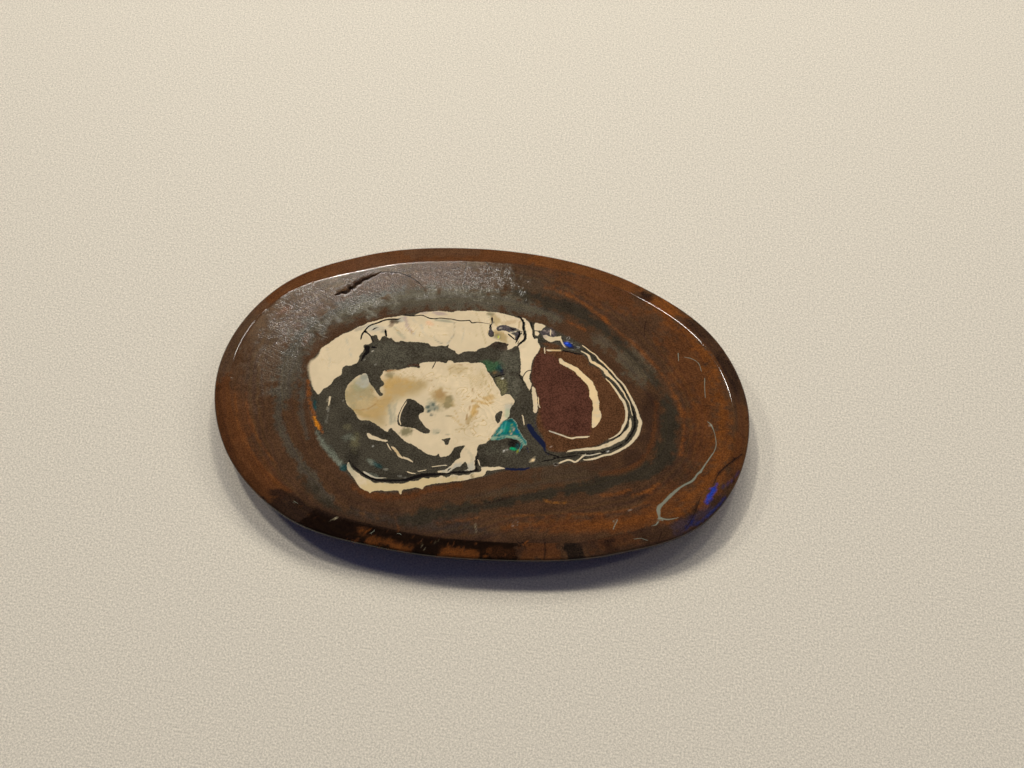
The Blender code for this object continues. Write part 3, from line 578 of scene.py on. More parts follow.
# The opal's own changes of colour, written like the ironstone's.
OPAL_PATCHES = (
    ("dull_honey", 0.9, -10.0, -1.3, 1.5, 1.0, 40),
    ("mint", 0.2, -10.2, -0.6, 0.7, 0.7, 20),
    ("pale_grey", 0.8, -9.9, -0.2, 0.6, 0.6, 40),
    ("celadon", 0.5, -10.1, 0.1, 0.35, 0.3, 0),
    ("bone", 0.25, -9.9, -1.9, 0.6, 0.5, 0),
    ("gold", 0.5, -7.4, 0.0, 1.4, 0.5, 8),
    ("honey", 0.5, -5.6, -0.2, 0.9, 0.5, 20),
    ("gold", 0.45, -8.0, -1.9, 0.9, 0.5, 30),
    ("olive", 0.6, -7.9, 0.55, 0.35, 0.3, 0),
    ("gold", 0.45, -7.0, -0.6, 1.1, 0.7, 15),
    ("gold", 0.5, -8.6, -3.1, 0.9, 0.5, 20),
    ("bone", 0.6, -7.0, -2.8, 0.3, 0.9, 10),
    ("olive", 0.85, -5.55, -4.5, 0.42, 0.42, 0),
    ("honey", 0.8, -3.1, -1.0, 1.0, 0.8, -40),
    ("amber", 0.6, -3.25, -0.65, 0.6, 0.4, 20),
    ("olive", 0.6, -2.5, -0.9, 0.35, 0.3, 40),
    ("olive", 0.6, -2.7, -1.6, 0.4, 0.3, 30),
    ("olive", 0.4, -3.4, -2.0, 0.6, 0.3, 0),
    ("celadon", 0.7, -3.8, -1.9, 0.5, 0.6, 10),
    ("dark_teal", 0.7, -3.77, -1.69, 0.12, 0.14, 0),
    ("dark_teal", 0.7, -4.2, -1.95, 0.14, 0.10, 0),
    ("dark_teal", 0.8, -4.05, -2.35, 0.20, 0.10, 30),
    ("dark_teal", 0.8, -3.8, -2.65, 0.14, 0.12, 0),
    ("dark_teal", 0.6, -3.6, -2.1, 0.10, 0.12, 0),
    ("olive", 0.7, -2.24, -2.55, 0.25, 0.1, 0),
    ("gold", 0.85, -0.3, -1.7, 0.26, 0.75, -8),
    ("honey", 0.8, -0.6, -2.7, 0.2, 0.45, -10),
    ("gold", 0.7, 0.7, -0.4, 0.6, 0.35, 20),
    ("honey", 0.4, -2.4, 1.8, 0.9, 0.5, 10),
    ("honey", 0.3, -0.4, 1.2, 0.7, 0.8, 0),
    ("green", 0.7, -3.0, -4.23, 0.12, 0.10, 0),
    ("grey", 0.6, -2.11, -4.27, 0.20, 0.07, 0),
    ("celadon", 0.4, -3.2, -4.1, 0.5, 0.3, 0),
    ("mint", 0.6, 2.45, -1.6, 0.25, 0.5, 0),
    ("pale_grey", 0.6, 2.45, -1.0, 0.3, 0.3, 0),
    ("grey", 0.6, 2.7, -0.75, 0.1, 0.14, 0),
    ("grey", 0.5, -11.3, 4.6, 0.5, 0.15, 35),
    ("pale_grey", 0.7, -9.9, 4.9, 0.8, 0.35, 10),
    ("grey", 0.6, -9.2, 4.7, 0.3, 0.2, 10),
    ("dark_matrix", 0.85, -8.35, 5.85, 0.4, 0.22, -5),
    ("maroon", 0.6, -8.6, 5.5, 0.15, 0.25, 0),
    ("pale_grey", 0.7, -7.8, 6.1, 0.3, 0.25, 0),
    ("pink", 0.8, -5.4, 6.05, 0.4, 0.18, -25),
    ("lilac_grey", 0.85, -4.7, 7.12, 0.55, 0.14, 0),
    ("lilac_grey", 0.6, -6.0, 7.0, 0.4, 0.12, 10),
    ("celadon", 0.6, -4.1, 6.45, 0.8, 0.12, 0),
    ("olive", 0.75, -0.4, 7.65, 0.4, 0.16, 0),
    ("honey", 0.7, 0.2, 7.1, 0.45, 0.5, 0),
    ("honey", 0.9, 0.85, 5.6, 0.7, 0.4, -10),
    ("olive", 0.6, 0.5, 5.5, 0.4, 0.25, 0),
    ("amber", 0.4, 1.5, 7.1, 0.5, 0.2, 20),
    ("bone", 0.8, -9.6, -8.6, 0.9, 0.9, 0),
    ("celadon", 0.5, -9.5, -8.15, 0.4, 0.2, -50),
    ("grey", 0.55, -1.28, -8.12, 0.28, 0.10, 50),
    ("black_brown", 0.85, 0.4, -7.65, 0.10, 0.22, 20),
    ("grey", 0.7, -0.8, -7.9, 0.12, 0.16, 20),
    ("stained_cream", 0.8, -5.0, -9.2, 4.6, 0.9, 12),
    ("bright_cream", 0.9, 3.5, 4.2, 0.8, 3.2, 0),
    ("warm_cream", 0.95, 8.4, 1.2, 2.8, 3.6, 0),
    ("gold", 0.6, 5.9, 4.95, 0.8, 0.2, 0),
    ("pale_grey", 0.75, 6.5, -2.9, 0.9, 0.3, 0),
    ("pale_grey", 0.6, 9.8, -4.4, 0.8, 0.2, 15),
    ("amber", 0.6, 10.9, -3.35, 0.2, 0.15, 20),
    ("gold", 0.5, -6.0, -6.4, 0.5, 0.2, -40),
    ("pale_grey", 0.7, -7.5, -8.7, 1.1, 0.4, -10),
    ("pale_grey", 0.8, -0.6, -7.1, 1.4, 0.5, 20),
    ("lilac_grey", 0.7, 4.5, 6.1, 0.25, 0.2, 0),
)
OPAL_STREAKS = (
    ("honey", 0.6, 0.08, "-.96,.73,.08 -.75,.16 -.68,-.29"),
    ("amber", 0.7, 0.05, "-.78,.25,.1 -.68,-.1"),
    ("gold", 0.8, 0.08, "-.6,-.9,.16 0,-.85,.2 .55,-1.0 1.2,-.72,.14"),
    ("honey", 0.8, 0.05, "-.13,-.29,.06 .35,-.5 .63,-.03 .76,.48"),
    ("honey", 0.7, 0.05, ".63,-.35,.08 1.1,-.2 1.35,.1"),
    ("amber", 0.85, 0.04, "-.62,-.9,.06 -.74,-1.6,.08 -.84,-2.4 -.88,-3.2,.06"),
    ("amber", 0.6, 0.04, "-.05,-1.1,.05 -.02,-2 -.3,-2.7 -.7,-3.2"),
    ("gold", 0.8, 0.05, "-.95,-3.3,.08 -1.4,-2.95 -1.65,-2.4 -1.9,-2.0"),
    ("gold", 0.7, 0.05, "-1.2,-3.25,.08 -1.9,-2.65 -2.3,-2.5"),
    ("honey", 0.8, 0.05, "-1.6,-3.75,.06 -1.2,-3.55 -.8,-3.5 -.5,-3.2 -.1,-2.85"),
    ("honey", 0.7, 0.04, "-.9,-3.7,.05 -.4,-3.4 .1,-3.1 .3,-2.8"),
    ("amber", 0.6, 0.04, "-.2,-3.75,.06 0,-4.0"),
    ("honey", 0.5, 0.05, ".9,-3.5,.06 1.3,-3.75"),
    ("amber", 0.6, 0.04, "-3.35,1.5,.05 -2.9,1.9 -2.5,2.3 -2.0,2.4"),
    ("honey", 0.7, 0.05, "-2.95,1.1,.06 -2.7,1.7 -2.2,2.0 -1.5,2.1"),
    ("honey", 0.6, 0.05, "-2.3,1.3,.05 -1.9,1.9 -1.2,2.2 -.6,2.0"),
    ("honey", 0.6, 0.05, "-.2,1.7,.06 .2,1.2 .35,.5 .6,.1"),
    ("honey", 0.6, 0.05, ".2,2.0,.06 .7,1.2 .95,.4"),
    ("honey", 0.5, 0.05, "-.5,2.3,.05 .0,1.5 -.1,.8 .1,.3"),
    ("honey", 0.55, 0.05, "-4.5,.55,.05 -3.9,.8 -3.5,1.1 -3.0,1.0"),
    ("amber", 0.6, 0.04, "-5.1,1.05,.06 -4.9,.65 -4.4,.5 -4.1,.6"),
    ("amber", 0.6, 0.04, "-6.1,1.3,.06 -6.02,.95 -5.85,.8"),
    ("honey", 0.6, 0.05, "-7.0,1.2,.05 -6.5,.85 -6.0,.65 -5.6,.7"),
    ("amber", 0.5, 0.04, "-5.45,1.5,.05 -5.25,1.1"),
    ("amber", 0.5, 0.04, "-4.1,.1,.05 -3.9,-.2 -4.2,-.5"),
    ("amber", 0.7, 0.05, "-8.3,.9,.16 -7.75,1.05 -7.2,1.15,.1"),
    ("rust", 0.7, 0.05, "-8.2,.95,.1 -7.6,1.12,.08"),
    ("amber", 0.75, 0.06, "-9.2,-.95,.05 -8.75,-1.5 -8.4,-2.0,.08 -8.9,-2.65 -9.5,-2.95 -10.2,-3.0,.05"),
    ("honey", 0.9, 0.1, "-10.3,-3.1,.16 -9.6,-3.3,.25 -8.9,-3.5"),
    ("amber", 0.5, 0.06, "-8.2,-1.9,.05 -7.6,-1.7 -7.1,-1.9"),
    ("amber", 0.6, 0.05, "-8.3,-.4,.06 -8.35,-.9 -8.5,-1.3"),
    ("olive", 0.6, 0.05, "-5.9,-4.2,.06 -5.5,-4.05 -5.15,-4.3 -5.1,-4.8"),
    ("dark_matrix", 0.7, 0.04, "-7.45,-4.0,.06 -7.2,-4.15"),
    ("celadon", 0.5, 0.1, "-7.4,-2.3,.2 -7.1,-3.2 -7.0,-3.9"),
    ("celadon", 0.4, 0.08, "-6.8,-1.7,.1 -6.9,-2.6 -6.7,-3.6"),
    ("lilac_grey", 0.8, 0.12, "-7.55,6.35,.25 -7.3,5.7,.3 -6.9,5.1,.25 -6.6,4.8,.1"),
    ("celadon", 0.45, 0.14, "-8.2,5.2,.2 -7.7,4.6 -7.3,4.3"),
    ("pale_grey", 0.6, 0.14, "-6.1,5.8,.1 -5.6,4.9 -5.0,4.5"),
    ("pale_grey", 0.5, 0.12, "-6.9,6.3,.1 -6.5,5.9"),
    ("grey", 0.7, 0.05, "-4.85,4.85,.05 -4.5,4.4,.08 -4.0,4.2"),
    ("pale_grey", 0.7, 0.1, "-3.35,6.4,.08 -3.2,5.8 -3.15,5.2 -3.4,4.6 -3.55,4.2,.14"),
    ("amber", 0.45, 0.04, "-3.3,6.4,.05 -3.15,5.6 -3.2,5.0 -3.45,4.5"),
    ("honey", 0.6, 0.06, "-1.6,7.6,.08 -1.2,6.9 -.9,6.2 -.55,5.3 -.3,4.7"),
    ("honey", 0.4, 0.08, "-1.35,5.8,.05 -1.2,5.3"),
    ("pale_grey", 0.4, 0.1, "-2.5,6.2,.06 -2.3,5.2 -2.5,4.4"),
    ("pale_grey", 0.35, 0.1, "-6.4,5.2,.06 -6.5,4.6"),
    ("amber", 0.5, 0.05, ".45,7.6,.05 .5,7.1"),
    ("amber", 0.6, 0.05, "2.35,7.5,.1 2.25,7.0 2.3,6.6"),
    ("celadon", 0.3, 0.12, "-.5,-5.3,.1 .1,-5.9 .1,-6.5"),
    ("pale_grey", 0.5, 0.1, "-12.2,3.6,.08 -11.7,2.6 -11.4,1.8"),
    ("pale_grey", 0.35, 0.12, "-13.6,2.4,.1 -13.2,1.4 -13.1,.4"),
)

# Where the opal is folded, written like the brushed places below.
FOLDS = (
    (1.0, -1.4, 0.6, 3.2, 1.6, 0), (1.0, 0.8, -1.4, 1.9, 3.2, 0), (0.8, -5.8, 0.7, 2.4, 0.9, 12), (0.7, -9.6, -1.8, 1.6, 1.4, 30),
    (0.7, -6.5, 5.3, 4.0, 0.8, 5), (0.6, 0.2, 6.6, 2.2, 1.2, 0), (0.4, -12.6, 2.2, 1.4, 2.2, -20), (0.3, -1.4, -4.4, 2.6, 1.0, 0),
)

# The teal opal's own streaks of green, blue and gold.
TEAL_STREAKS = (
    ("mint", 0.9, 0.12, "1.5,-4.05,.2 2.0,-3.95 2.5,-3.75,.16 3.2,-3.7 3.7,-3.75,.2 4.1,-4.1 4.25,-4.3,.16"),
    ("bone", 0.5, 0.08, "3.3,-3.6,.1 3.8,-3.85 4.1,-4.2"),
    ("cyan", 0.8, 0.06, "2.15,-2.75,.12 2.2,-3.1 2.1,-3.5"),
    ("cyan", 0.7, 0.05, "2.45,-2.5,.06 2.4,-3.3"),
    ("mint", 0.8, 0.05, "2.2,-3.2,.1 2.05,-3.5 1.9,-3.7"),
    ("emerald", 0.6, 0.06, "2.6,-2.9,.08 2.5,-3.5"),
    ("yellow_green", 0.6, 0.05, "2.95,-2.6,.06 3.0,-2.9 2.9,-3.3"),
    ("pink", 0.8, 0.06, "3.12,-2.8,.12 3.15,-3.2 3.0,-3.5"),
    ("blue", 0.6, 0.06, "3.35,-2.95,.1 3.5,-3.25"),
    ("dark_teal", 0.8, 0.06, "2.7,-2.25,.3 2.95,-2.3"),
    ("dark_teal", 0.7, 0.05, "2.75,-3.3,.1 2.7,-3.55"),
    ("dark_teal", 0.7, 0.04, "1.9,-3.75,.1 2.25,-3.92"),
)

# Small spots on top of everything, written like the patches.
SPOTS = (
    ("navy", 0.95, 6.80, 5.55, 0.45, 0.22, -25),
    ("blue", 1.0, 6.60, 5.65, 0.32, 0.18, -25),
    ("pale_blue", 0.8, 6.50, 5.72, 0.12, 0.07, -25),
    # Painted highlight: a pink-white glint on the blue spot.
    ("pink", 0.8, 6.88, 5.80, 0.05, 0.04, 0),
    ("navy", 0.85, 7.30, 5.50, 0.30, 0.08, -8),
    ("black", 0.95, 6.56, 6.23, 0.12, 0.11, 0),
    ("black", 0.95, 7.04, -5.64, 0.12, 0.11, 0),
    ("black", 0.8, -0.48, 7.32, 0.07, 0.07, 0),
    ("black", 0.8, 0.89, 7.63, 0.08, 0.08, 0),
    ("black", 0.6, 0.05, 6.85, 0.06, 0.2, 0),
    ("yellow_green", 1.0, 0.66, 5.49, 0.09, 0.15, 0),
    ("cream", 0.9, 1.70, 6.10, 0.12, 0.08, 30),
    ("cream", 0.9, 2.05, 6.25, 0.09, 0.07, 0),
    ("cream", 0.9, 2.22, 6.45, 0.07, 0.07, 0),
    ("cream", 0.8, 1.95, 5.80, 0.12, 0.06, -30),
    ("cream", 0.7, 0.75, 6.45, 0.10, 0.05, 20),
    ("cream", 0.6, 1.20, 6.55, 0.06, 0.05, 0),
    ("white", 0.9, 1.60, 1.60, 0.10, 0.05, 20),
    ("bone", 0.8, -9.70, 2.67, 0.09, 0.04, 20),
    ("bone", 0.6, -10.24, 1.80, 0.03, 0.09, 0),
    ("bone", 0.6, -10.20, 1.40, 0.04, 0.06, 0),
    ("grey", 0.6, -9.95, 1.10, 0.06, 0.05, 0),
    ("grey", 0.5, -9.25, 1.35, 0.06, 0.05, 0),
    ("grey", 0.5, -8.70, 2.00, 0.07, 0.03, 30),
    ("white", 0.85, 11.06, -3.90, 0.12, 0.06, 30),
    ("warm_cream", 0.95, 5.05, -5.60, 0.34, 0.13, 50),
    ("white", 0.8, 2.62, -5.12, 0.05, 0.16, -20),
    ("pale_grey", 0.8, 2.45, -5.45, 0.06, 0.16, 0),
    ("pale_grey", 0.5, 2.87, -4.95, 0.12, 0.05, 0),
    ("pink", 0.6, 6.40, -4.20, 0.08, 0.05, 0),
    ("umber", 0.5, 4.46, -11.32, 0.20, 0.18, 0),
    ("bone", 0.35, 13.37, -8.84, 0.08, 0.06, 0),
    ("bone", 0.5, 19.28, -0.33, 0.16, 0.08, 40),
    ("olive", 0.6, -6.60, -8.06, 0.20, 0.05, 0),
    ("white", 0.5, -8.05, -6.10, 0.03, 0.03, 0),
    ("bone", 0.5, -11.30, -2.30, 0.03, 0.05, 0),
)

# Where the polish is still brushed: (how much, x, y, half-length, half-width, tilt in degrees).
BRUSHED = (
    (1.0, -4.5, 10.9, 5.5, 1.7, 3), (1.0, -11.5, 8.6, 4.8, 2.0, 33), (0.9, -16.5, 5.0, 2.4, 4.0, -25),
    (0.5, -17.5, 0.5, 2.0, 3.0, 0),
)

# The pale crack on the right, and the small squiggles by the rim, each with its widths.
PALE_CRACKS_AND_GLINTS = tuple(trace(text) for text in (
    "16,6.0,.07 16.1,5.4,.05",
    "16.6,5.76,.05 17.2,5.7 17.8,5.34 18.06,4.67,.06",
    "18.42,3.94,.06 18.48,3.1 18.6,2.19,.05",
    """19.0,-.1,.05 19.28,-.33,.12 19.55,-.87,.05 19.71,-1.41 19.82,-2.06,.06 19.71,-2.71 19.44,-3.25,.1
       19.17,-3.79 18.9,-4.34,.12 18.75,-4.7,.2 18.52,-4.88,.12 18.2,-5.53,.18 17.49,-6.07,.14 16.95,-6.61,.2
       16.41,-7.26,.26 15.97,-7.91,.22 15.65,-8.35,.34 15.76,-9.0,.2 15.92,-9.32,.08""",
    "15.92,-9.2,.16 16.5,-9.24,.1 17.27,-8.98,.05",
    "15.7,-9.3,.16 15.65,-9.76,.1 15.32,-9.95,.05",
    "12.23,-10.68,.06 12.18,-9.97,.05",
    "12.23,-10.68,.06 12.5,-9.81,.05",
    "14.0,-11.3,.017 14.5,-11.15 15.0,-11.3",
    "-13.9,-11.6,.017 -13.4,-11.9 -12.8,-12.1",
    # These two are partly pale chips on the near rim and partly painted glints on them.
    "-6.9,-13.75,.017 -6.7,-13.6,.044 -6.6,-13.35,.017",
    "-4.75,-13.45,.017 -4.6,-13.4,.044 -4.45,-13.5,.017",
))
STONE_CRACKS = tuple(trace(text) for text in (
    "-10.6,10.52,.12 -10,10.68,.1 -9.2,10.72 -8.4,10.62 -7.6,10.32 -7.0,9.95,.08 -6.5,9.5,.06",
    "-3.2,12.6,.08 -3.2,11.6 -3.05,10.8 -3.1,10.1,.05",
    "-1.5,12.9,.1 -1.2,12.6 -1.0,12.2,.08",
    "21.94,-2.7,.1 21.18,-3.47 20.69,-4.0 20.2,-4.66 19.88,-5.64,.07",
    "18.9,-6.94,.08 18.6,-8.24 18.1,-9.54 17.8,-9.97,.06",
    "16.1,-10.4,.1 15.9,-11.2,.06",
    "13,8.9,.05 12.95,8.1 13,7.3,.05",
    "-7.9,11.6,.08 -7.8,12.1,.06",
    "4.7,-12.6,.06 5.0,-12.9,.1 5.3,-12.8 5.5,-13.3,.06",
))

VEIN_LEAN = (0.074, -0.527)     # how far the markings shift for each mm of depth
MARK_TOP = 3.2                  # the height they are written at, in mm
FEATHER = 0.02                  # the edge of the opal, in mm
CRESCENT_BLUR = 0.22            # and of the crescent's hazy outer side

# ---- Wear ----

# The open fissure: x, y, half of its width and its depth, in millimetres.
FISSURE = (
    (-14.05, 7.72, 0.05, 0.04), (-13.75, 7.88, 0.11, 0.14), (-13.52, 8.12, 0.14, 0.18),
    (-13.18, 8.14, 0.17, 0.22), (-12.98, 8.34, 0.19, 0.26), (-12.92, 8.62, 0.19, 0.26),
    (-12.58, 8.74, 0.17, 0.24), (-12.42, 9.12, 0.16, 0.23), (-12.10, 9.30, 0.15, 0.22),
    (-11.88, 9.66, 0.13, 0.19), (-11.48, 9.84, 0.13, 0.18), (-11.20, 10.12, 0.11, 0.15),
    (-10.92, 10.24, 0.09, 0.10), (-10.60, 10.52, 0.05, 0.05), (-10.00, 10.68, 0.03, 0.03),
    (-9.20, 10.72, 0.03, 0.03), (-8.40, 10.62, 0.03, 0.03), (-7.60, 10.32, 0.025, 0.02),
    (-7.00, 9.95, 0.02, 0.02), (-6.50, 9.50, 0.02, 0.01),
)
LIP_SHARE = 2.1         # its worn lip is this many times as wide as the fissure
LIP_SLOPE = 0.15
FISSURE_REACHES = (0.75, 0.4)   # the skin is divided again within each of these, in mm
# Chips and pits: x, y, radius and depth, in millimetres.
CHIPS = (
    (-6.70, -13.5, 0.30, 0.05), (-4.58, -13.46, 0.25, 0.04), (-9.90, -12.85, 0.28, 0.04),
    (1.45, -12.3, 0.20, 0.03), (5.30, -12.9, 0.50, 0.06), (-2.40, -14.5, 0.30, 0.05),
    (-1.2, -13.7, 0.25, 0.04), (-20.95, -1.4, 0.16, 0.05), (-7.80, 12.0, 0.14, 0.012),
)

# ---- The stone's shape ----


def around(degrees, stations):
    """The values at some directions on a smooth closed curve through (degrees, value) stations."""
    degrees = np.asarray(degrees, dtype=float) % 360.0
    angles = np.array([station[0] for station in stations])
    values = np.array([station[1] for station in stations])
    after = np.searchsorted(angles, degrees, side="right")
    xs, ys = [], []
    for step in (-2, -1, 0, 1):
        turns, index = np.divmod(after + step, len(stations))
        xs.append(angles[index] + 360.0 * turns)
        ys.append(values[index])
    span = xs[2] - xs[1]
    t = (degrees - xs[1]) / span
    bend_in = (ys[2] - ys[0]) / (xs[2] - xs[0]) * span - (ys[2] - ys[1])
    bend_out = (ys[2] - ys[1]) - (ys[3] - ys[1]) / (xs[3] - xs[1]) * span
    return (1 - t) * ys[1] + t * ys[2] + t * (1 - t) * ((1 - t) * bend_in + t * bend_out)


def raw_girdle(degrees):
    turn = np.radians(degrees)
    return np.stack((np.cos(turn), np.sin(turn)), axis=-1) * around(degrees, GIRDLE)[..., None]


def girdle(degrees):
    """Points of the girdle, centred and with the stated length and width."""
    solid = raw_girdle(np.arange(OUTLINE_STEPS) * 360.0 / OUTLINE_STEPS)
    low, high = solid.min(axis=0), solid.max(axis=0)
    return (raw_girdle(degrees) - (low + high) / 2.0) * (np.array((LENGTH, WIDTH)) / (high - low))


def arc(centre, radius, start, end):
    """Points of an arc in the (inset, height) plane, from start to end in degrees."""
    points = []
    for share in np.linspace(0.0, 1.0, ROUND_STEPS + 1):
        turn = np.radians(start + (end - start) * share)
        points.append((centre[0] - radius * np.cos(turn), centre[1] + radius * np.sin(turn)))
    return points


def tangent(start, start_radius, end, end_radius):
    """The slope, in degrees, of the straight side that runs tangent from one arc to the next."""
    along = np.hypot(end[0] - start[0], end[1] - start[1])
    facing = np.arctan2(end[1] - start[1], start[0] - end[0]) % math.tau
    return np.degrees(facing - np.arccos((start_radius - end_radius) / along))


def side_arcs(rim_width):
    """The foot's, the girdle's and the face edge's arcs, as lists of (inset, height)."""
    foot = (BACK_INSET + FOOT_ROUND, FOOT_ROUND)
    middle = (GIRDLE_ROUND, GIRDLE_HEIGHT)
    edge_inset = rim_width + FACE_EDGE_ROUND * math.cos(FACE_EDGE_MIDDLE)
    edge = (edge_inset, FACE_EDGE_HEIGHT - FACE_EDGE_ROUND)
    back_slope = tangent(foot, FOOT_ROUND, middle, GIRDLE_ROUND)
    rim_slope = tangent(middle, GIRDLE_ROUND, edge, FACE_EDGE_ROUND)
    return (arc(foot, FOOT_ROUND, -90.0, back_slope), arc(middle, GIRDLE_ROUND, back_slope, rim_slope),
            arc(edge, FACE_EDGE_ROUND, rim_slope, FACE_EDGE_END))


def between(first, last, shares):
    """Places on the straight line between two (inset, height) places."""
    return [(first[0] + (last[0] - first[0]) * s, first[1] + (last[1] - first[1]) * s) for s in shares]


def ring_points(degrees, inset, height):
    """A ring round the stone, moved in from the girdle and up from the back."""
    outline = girdle(degrees)
    length = np.hypot(outline[:, 0], outline[:, 1])
    plan = outline * (1.0 - inset / length)[:, None]
    return np.column_stack((plan, np.broadcast_to(height, length.shape)))


def spaced(cells, fine):
    """Values from -1 to 1, closer together in the middle, by FINE_BY, than outside it."""
    place = np.linspace(-1.0, 1.0, 4001)
    outside = np.clip((np.abs(place) - fine) / (1.0 - fine) * 2.0, 0.0, 1.0)
    crowding = 1.0 / (FINE_BY + (1.0 - FINE_BY) * outside)
    total = np.concatenate(((0.0,), np.cumsum((crowding[1:] + crowding[:-1]) / 2.0)))
    return np.interp(np.linspace(0.0, total[-1], cells + 1), total, place)


def square_to_oval(along, across):
    """Turns places on a square into (share of the way out, direction in degrees) on the oval."""
    u, v = np.meshgrid(along, across, indexing="ij")
    x = u * np.sqrt(1.0 - v * v / 2.0)
    y = v * np.sqrt(1.0 - u * u / 2.0)
    round_share = np.hypot(x, y)
    square_share = np.maximum(np.abs(u), np.abs(v))
    near_rim = np.clip((square_share - 0.5) / 0.5, 0.0, 1.0)
    share = round_share + (square_share - round_share) * 0.6 * near_rim * near_rim
    return share, np.degrees(np.arctan2(y * WIDTH, x * LENGTH)) % 360.0


def border(rows, columns):
    """The outer places of a grid, anticlockwise from its first one, as (row, column) arrays."""
    low, high = np.arange(rows), np.arange(columns)
    row = np.concatenate((low, np.full(columns, rows), low[::-1] + 1, np.zeros(columns, int)))
    column = np.concatenate((np.zeros(rows, int), high, np.full(rows, columns), high[::-1] + 1))
    return row, column


def grid_faces(numbers, flip):
    """Four-sided faces over a grid of vertex numbers, with the corner ones split in two."""
    rows, columns = numbers.shape[0] - 1, numbers.shape[1] - 1
    faces = []
    for i in range(rows):
        for j in range(columns):
            quad = [numbers[i, j], numbers[i + 1, j], numbers[i + 1, j + 1], numbers[i, j + 1]]
            if i in (0, rows - 1) and j in (0, columns - 1):
                turn = {(0, 0): 0, (rows - 1, 0): 1, (rows - 1, columns - 1): 2, (0, columns - 1): 3}[i, j]
                a, b, c, d = quad[turn:] + quad[:turn]
                parts = [[a, b, c], [a, c, d]]
            else:
                parts = [quad]
            faces += [part[::-1] for part in parts] if flip else parts
    return faces


def band_faces(lower, upper):
    """Faces between two rings, where the upper one may have twice as many points."""
    faces = []
    count = len(lower)
    for i in range(count):
        j = (i + 1) % count
        if len(upper) == count:
            faces.append([lower[i], lower[j], upper[j], upper[i]])
            continue
        first, middle, last = upper[2 * i], upper[2 * i + 1], upper[(2 * i + 2) % len(upper)]
        faces += [[lower[i], middle, first], [lower[i], lower[j], middle], [lower[j], last, middle]]
    return faces


class Skin:
    """Collects the vertices and faces of the stone's skin."""

    def __init__(self):
        self.points = []
        self.faces = []
        self.sawn = []
        self.count = 0

    def add(self, points):
        numbers = np.arange(self.count, self.count + len(points))
        self.points.append(points)
        self.count += len(points)
        return numbers

    def cover(self, faces, sawn):
        self.faces += faces
        self.sawn += [sawn] * len(faces)


def build_skin():
    """The whole skin: back, undercut, girdle, sloping rim and crowned face, with no open edge."""
    along = spaced(CELLS_ALONG, FINE_ALONG)
    across = spaced(CELLS_ACROSS, FINE_ACROSS)
    share, direction = square_to_oval(along, across)
    rows, columns = border(CELLS_ALONG, CELLS_ACROSS)
    degrees = direction[rows, columns]
    foot, middle, edge = side_arcs(around(degrees, RIM))
    skin = Skin()

    # The face, whose border is the last ring of the rounding round it.
    edge_plan = ring_points(direction.ravel(), side_arcs(around(direction.ravel(), RIM))[2][-1][0], 0.0)[:, :2]
    height = FACE_EDGE_HEIGHT + CROWN * (1.0 - share.ravel() ** 2)
    face = skin.add(np.column_stack((edge_plan * share.reshape(-1, 1), height))).reshape(share.shape)
    face_ring = face[rows, columns]
    skin.cover(grid_faces(face, flip=False), sawn=False)

    # The rim and the girdle.
    first, last = middle[-1], edge[0]
    slope = between(first, last, SLOPE_SHARES)
    rings = [skin.add(ring_points(degrees, inset, z)) for inset, z in middle + slope + edge[:-1]]
    for lower, upper in zip(rings, rings[1:] + [face_ring]):
        skin.cover(band_faces(lower, upper), sawn=False)

    # The undercut and the flat back, each with half as many points as the last.
    half = degrees[::2]
    top = [np.broadcast_to(part, degrees.shape)[::2] for part in middle[0]]
    undercut = between(foot[-1], top, UNDERCUT_SHARES)
    foot_rings = [skin.add(ring_points(half, inset, z)) for inset, z in foot + undercut]
    skin.cover(band_faces(foot_rings[-1], rings[0]), sawn=True)
    for lower, upper in zip(foot_rings, foot_rings[1:]):
        skin.cover(band_faces(lower, upper), sawn=True)
    back_share = share[::BACK_STEP, ::BACK_STEP]
    back_direction = direction[::BACK_STEP, ::BACK_STEP].ravel()
    back_plan = ring_points(back_direction, foot[0][0], 0.0)
    back_plan[:, :2] *= FLAT_BACK_SHARE * back_share.reshape(-1, 1)
    back = skin.add(back_plan).reshape(back_share.shape)
    back_border = border(CELLS_ALONG // BACK_STEP, CELLS_ACROSS // BACK_STEP)
    skin.cover(band_faces(back[back_border], foot_rings[0]), sawn=True)
    skin.cover(grid_faces(back, flip=True), sawn=True)
    return skin


def divide_near(mesh, route, reach):
    """Divides the skin's top once more where it lies within reach of a route, both in metres."""
    shape = bmesh.new()
    shape.from_mesh(mesh)
    plan = np.array([vert.co[:2] for vert in shape.verts])
    height = np.array([vert.co[2] for vert in shape.verts])
    gap = np.min([np.hypot(*(plan - stop).T) for stop in route], axis=0)
    near = (gap < reach) & (height > GIRDLE_HEIGHT)
    edges = [edge for edge in shape.edges if near[edge.verts[0].index] and near[edge.verts[1].index]]
    bmesh.ops.subdivide_edges(shape, edges=edges, cuts=1, use_grid_fill=True)
    bmesh.ops.triangulate(shape, faces=[face for face in shape.faces if len(face.verts) > 4])
    shape.to_mesh(mesh)
    shape.free()


def skin_mesh(skin):
    mesh = bpy.data.meshes.new("opal_slab_skin")
    mesh.from_pydata(np.concatenate(skin.points).tolist(), [], [[int(n) for n in face] for face in skin.faces])
    mesh.shade_smooth()
    sawn = mesh.attributes.new("sawn", 'BOOLEAN', 'FACE')
    sawn.data.foreach_set("value", skin.sawn)
    route = smoothed(FISSURE)[:, :2] * MM
    for reach in FISSURE_REACHES:
        divide_near(mesh, route, reach * MM)
    points = np.empty(len(mesh.vertices) * 3)
    mesh.vertices.foreach_get("co", points)
    return mesh, points.reshape(-1, 3)


# ---- Painting the markings on the skin ----


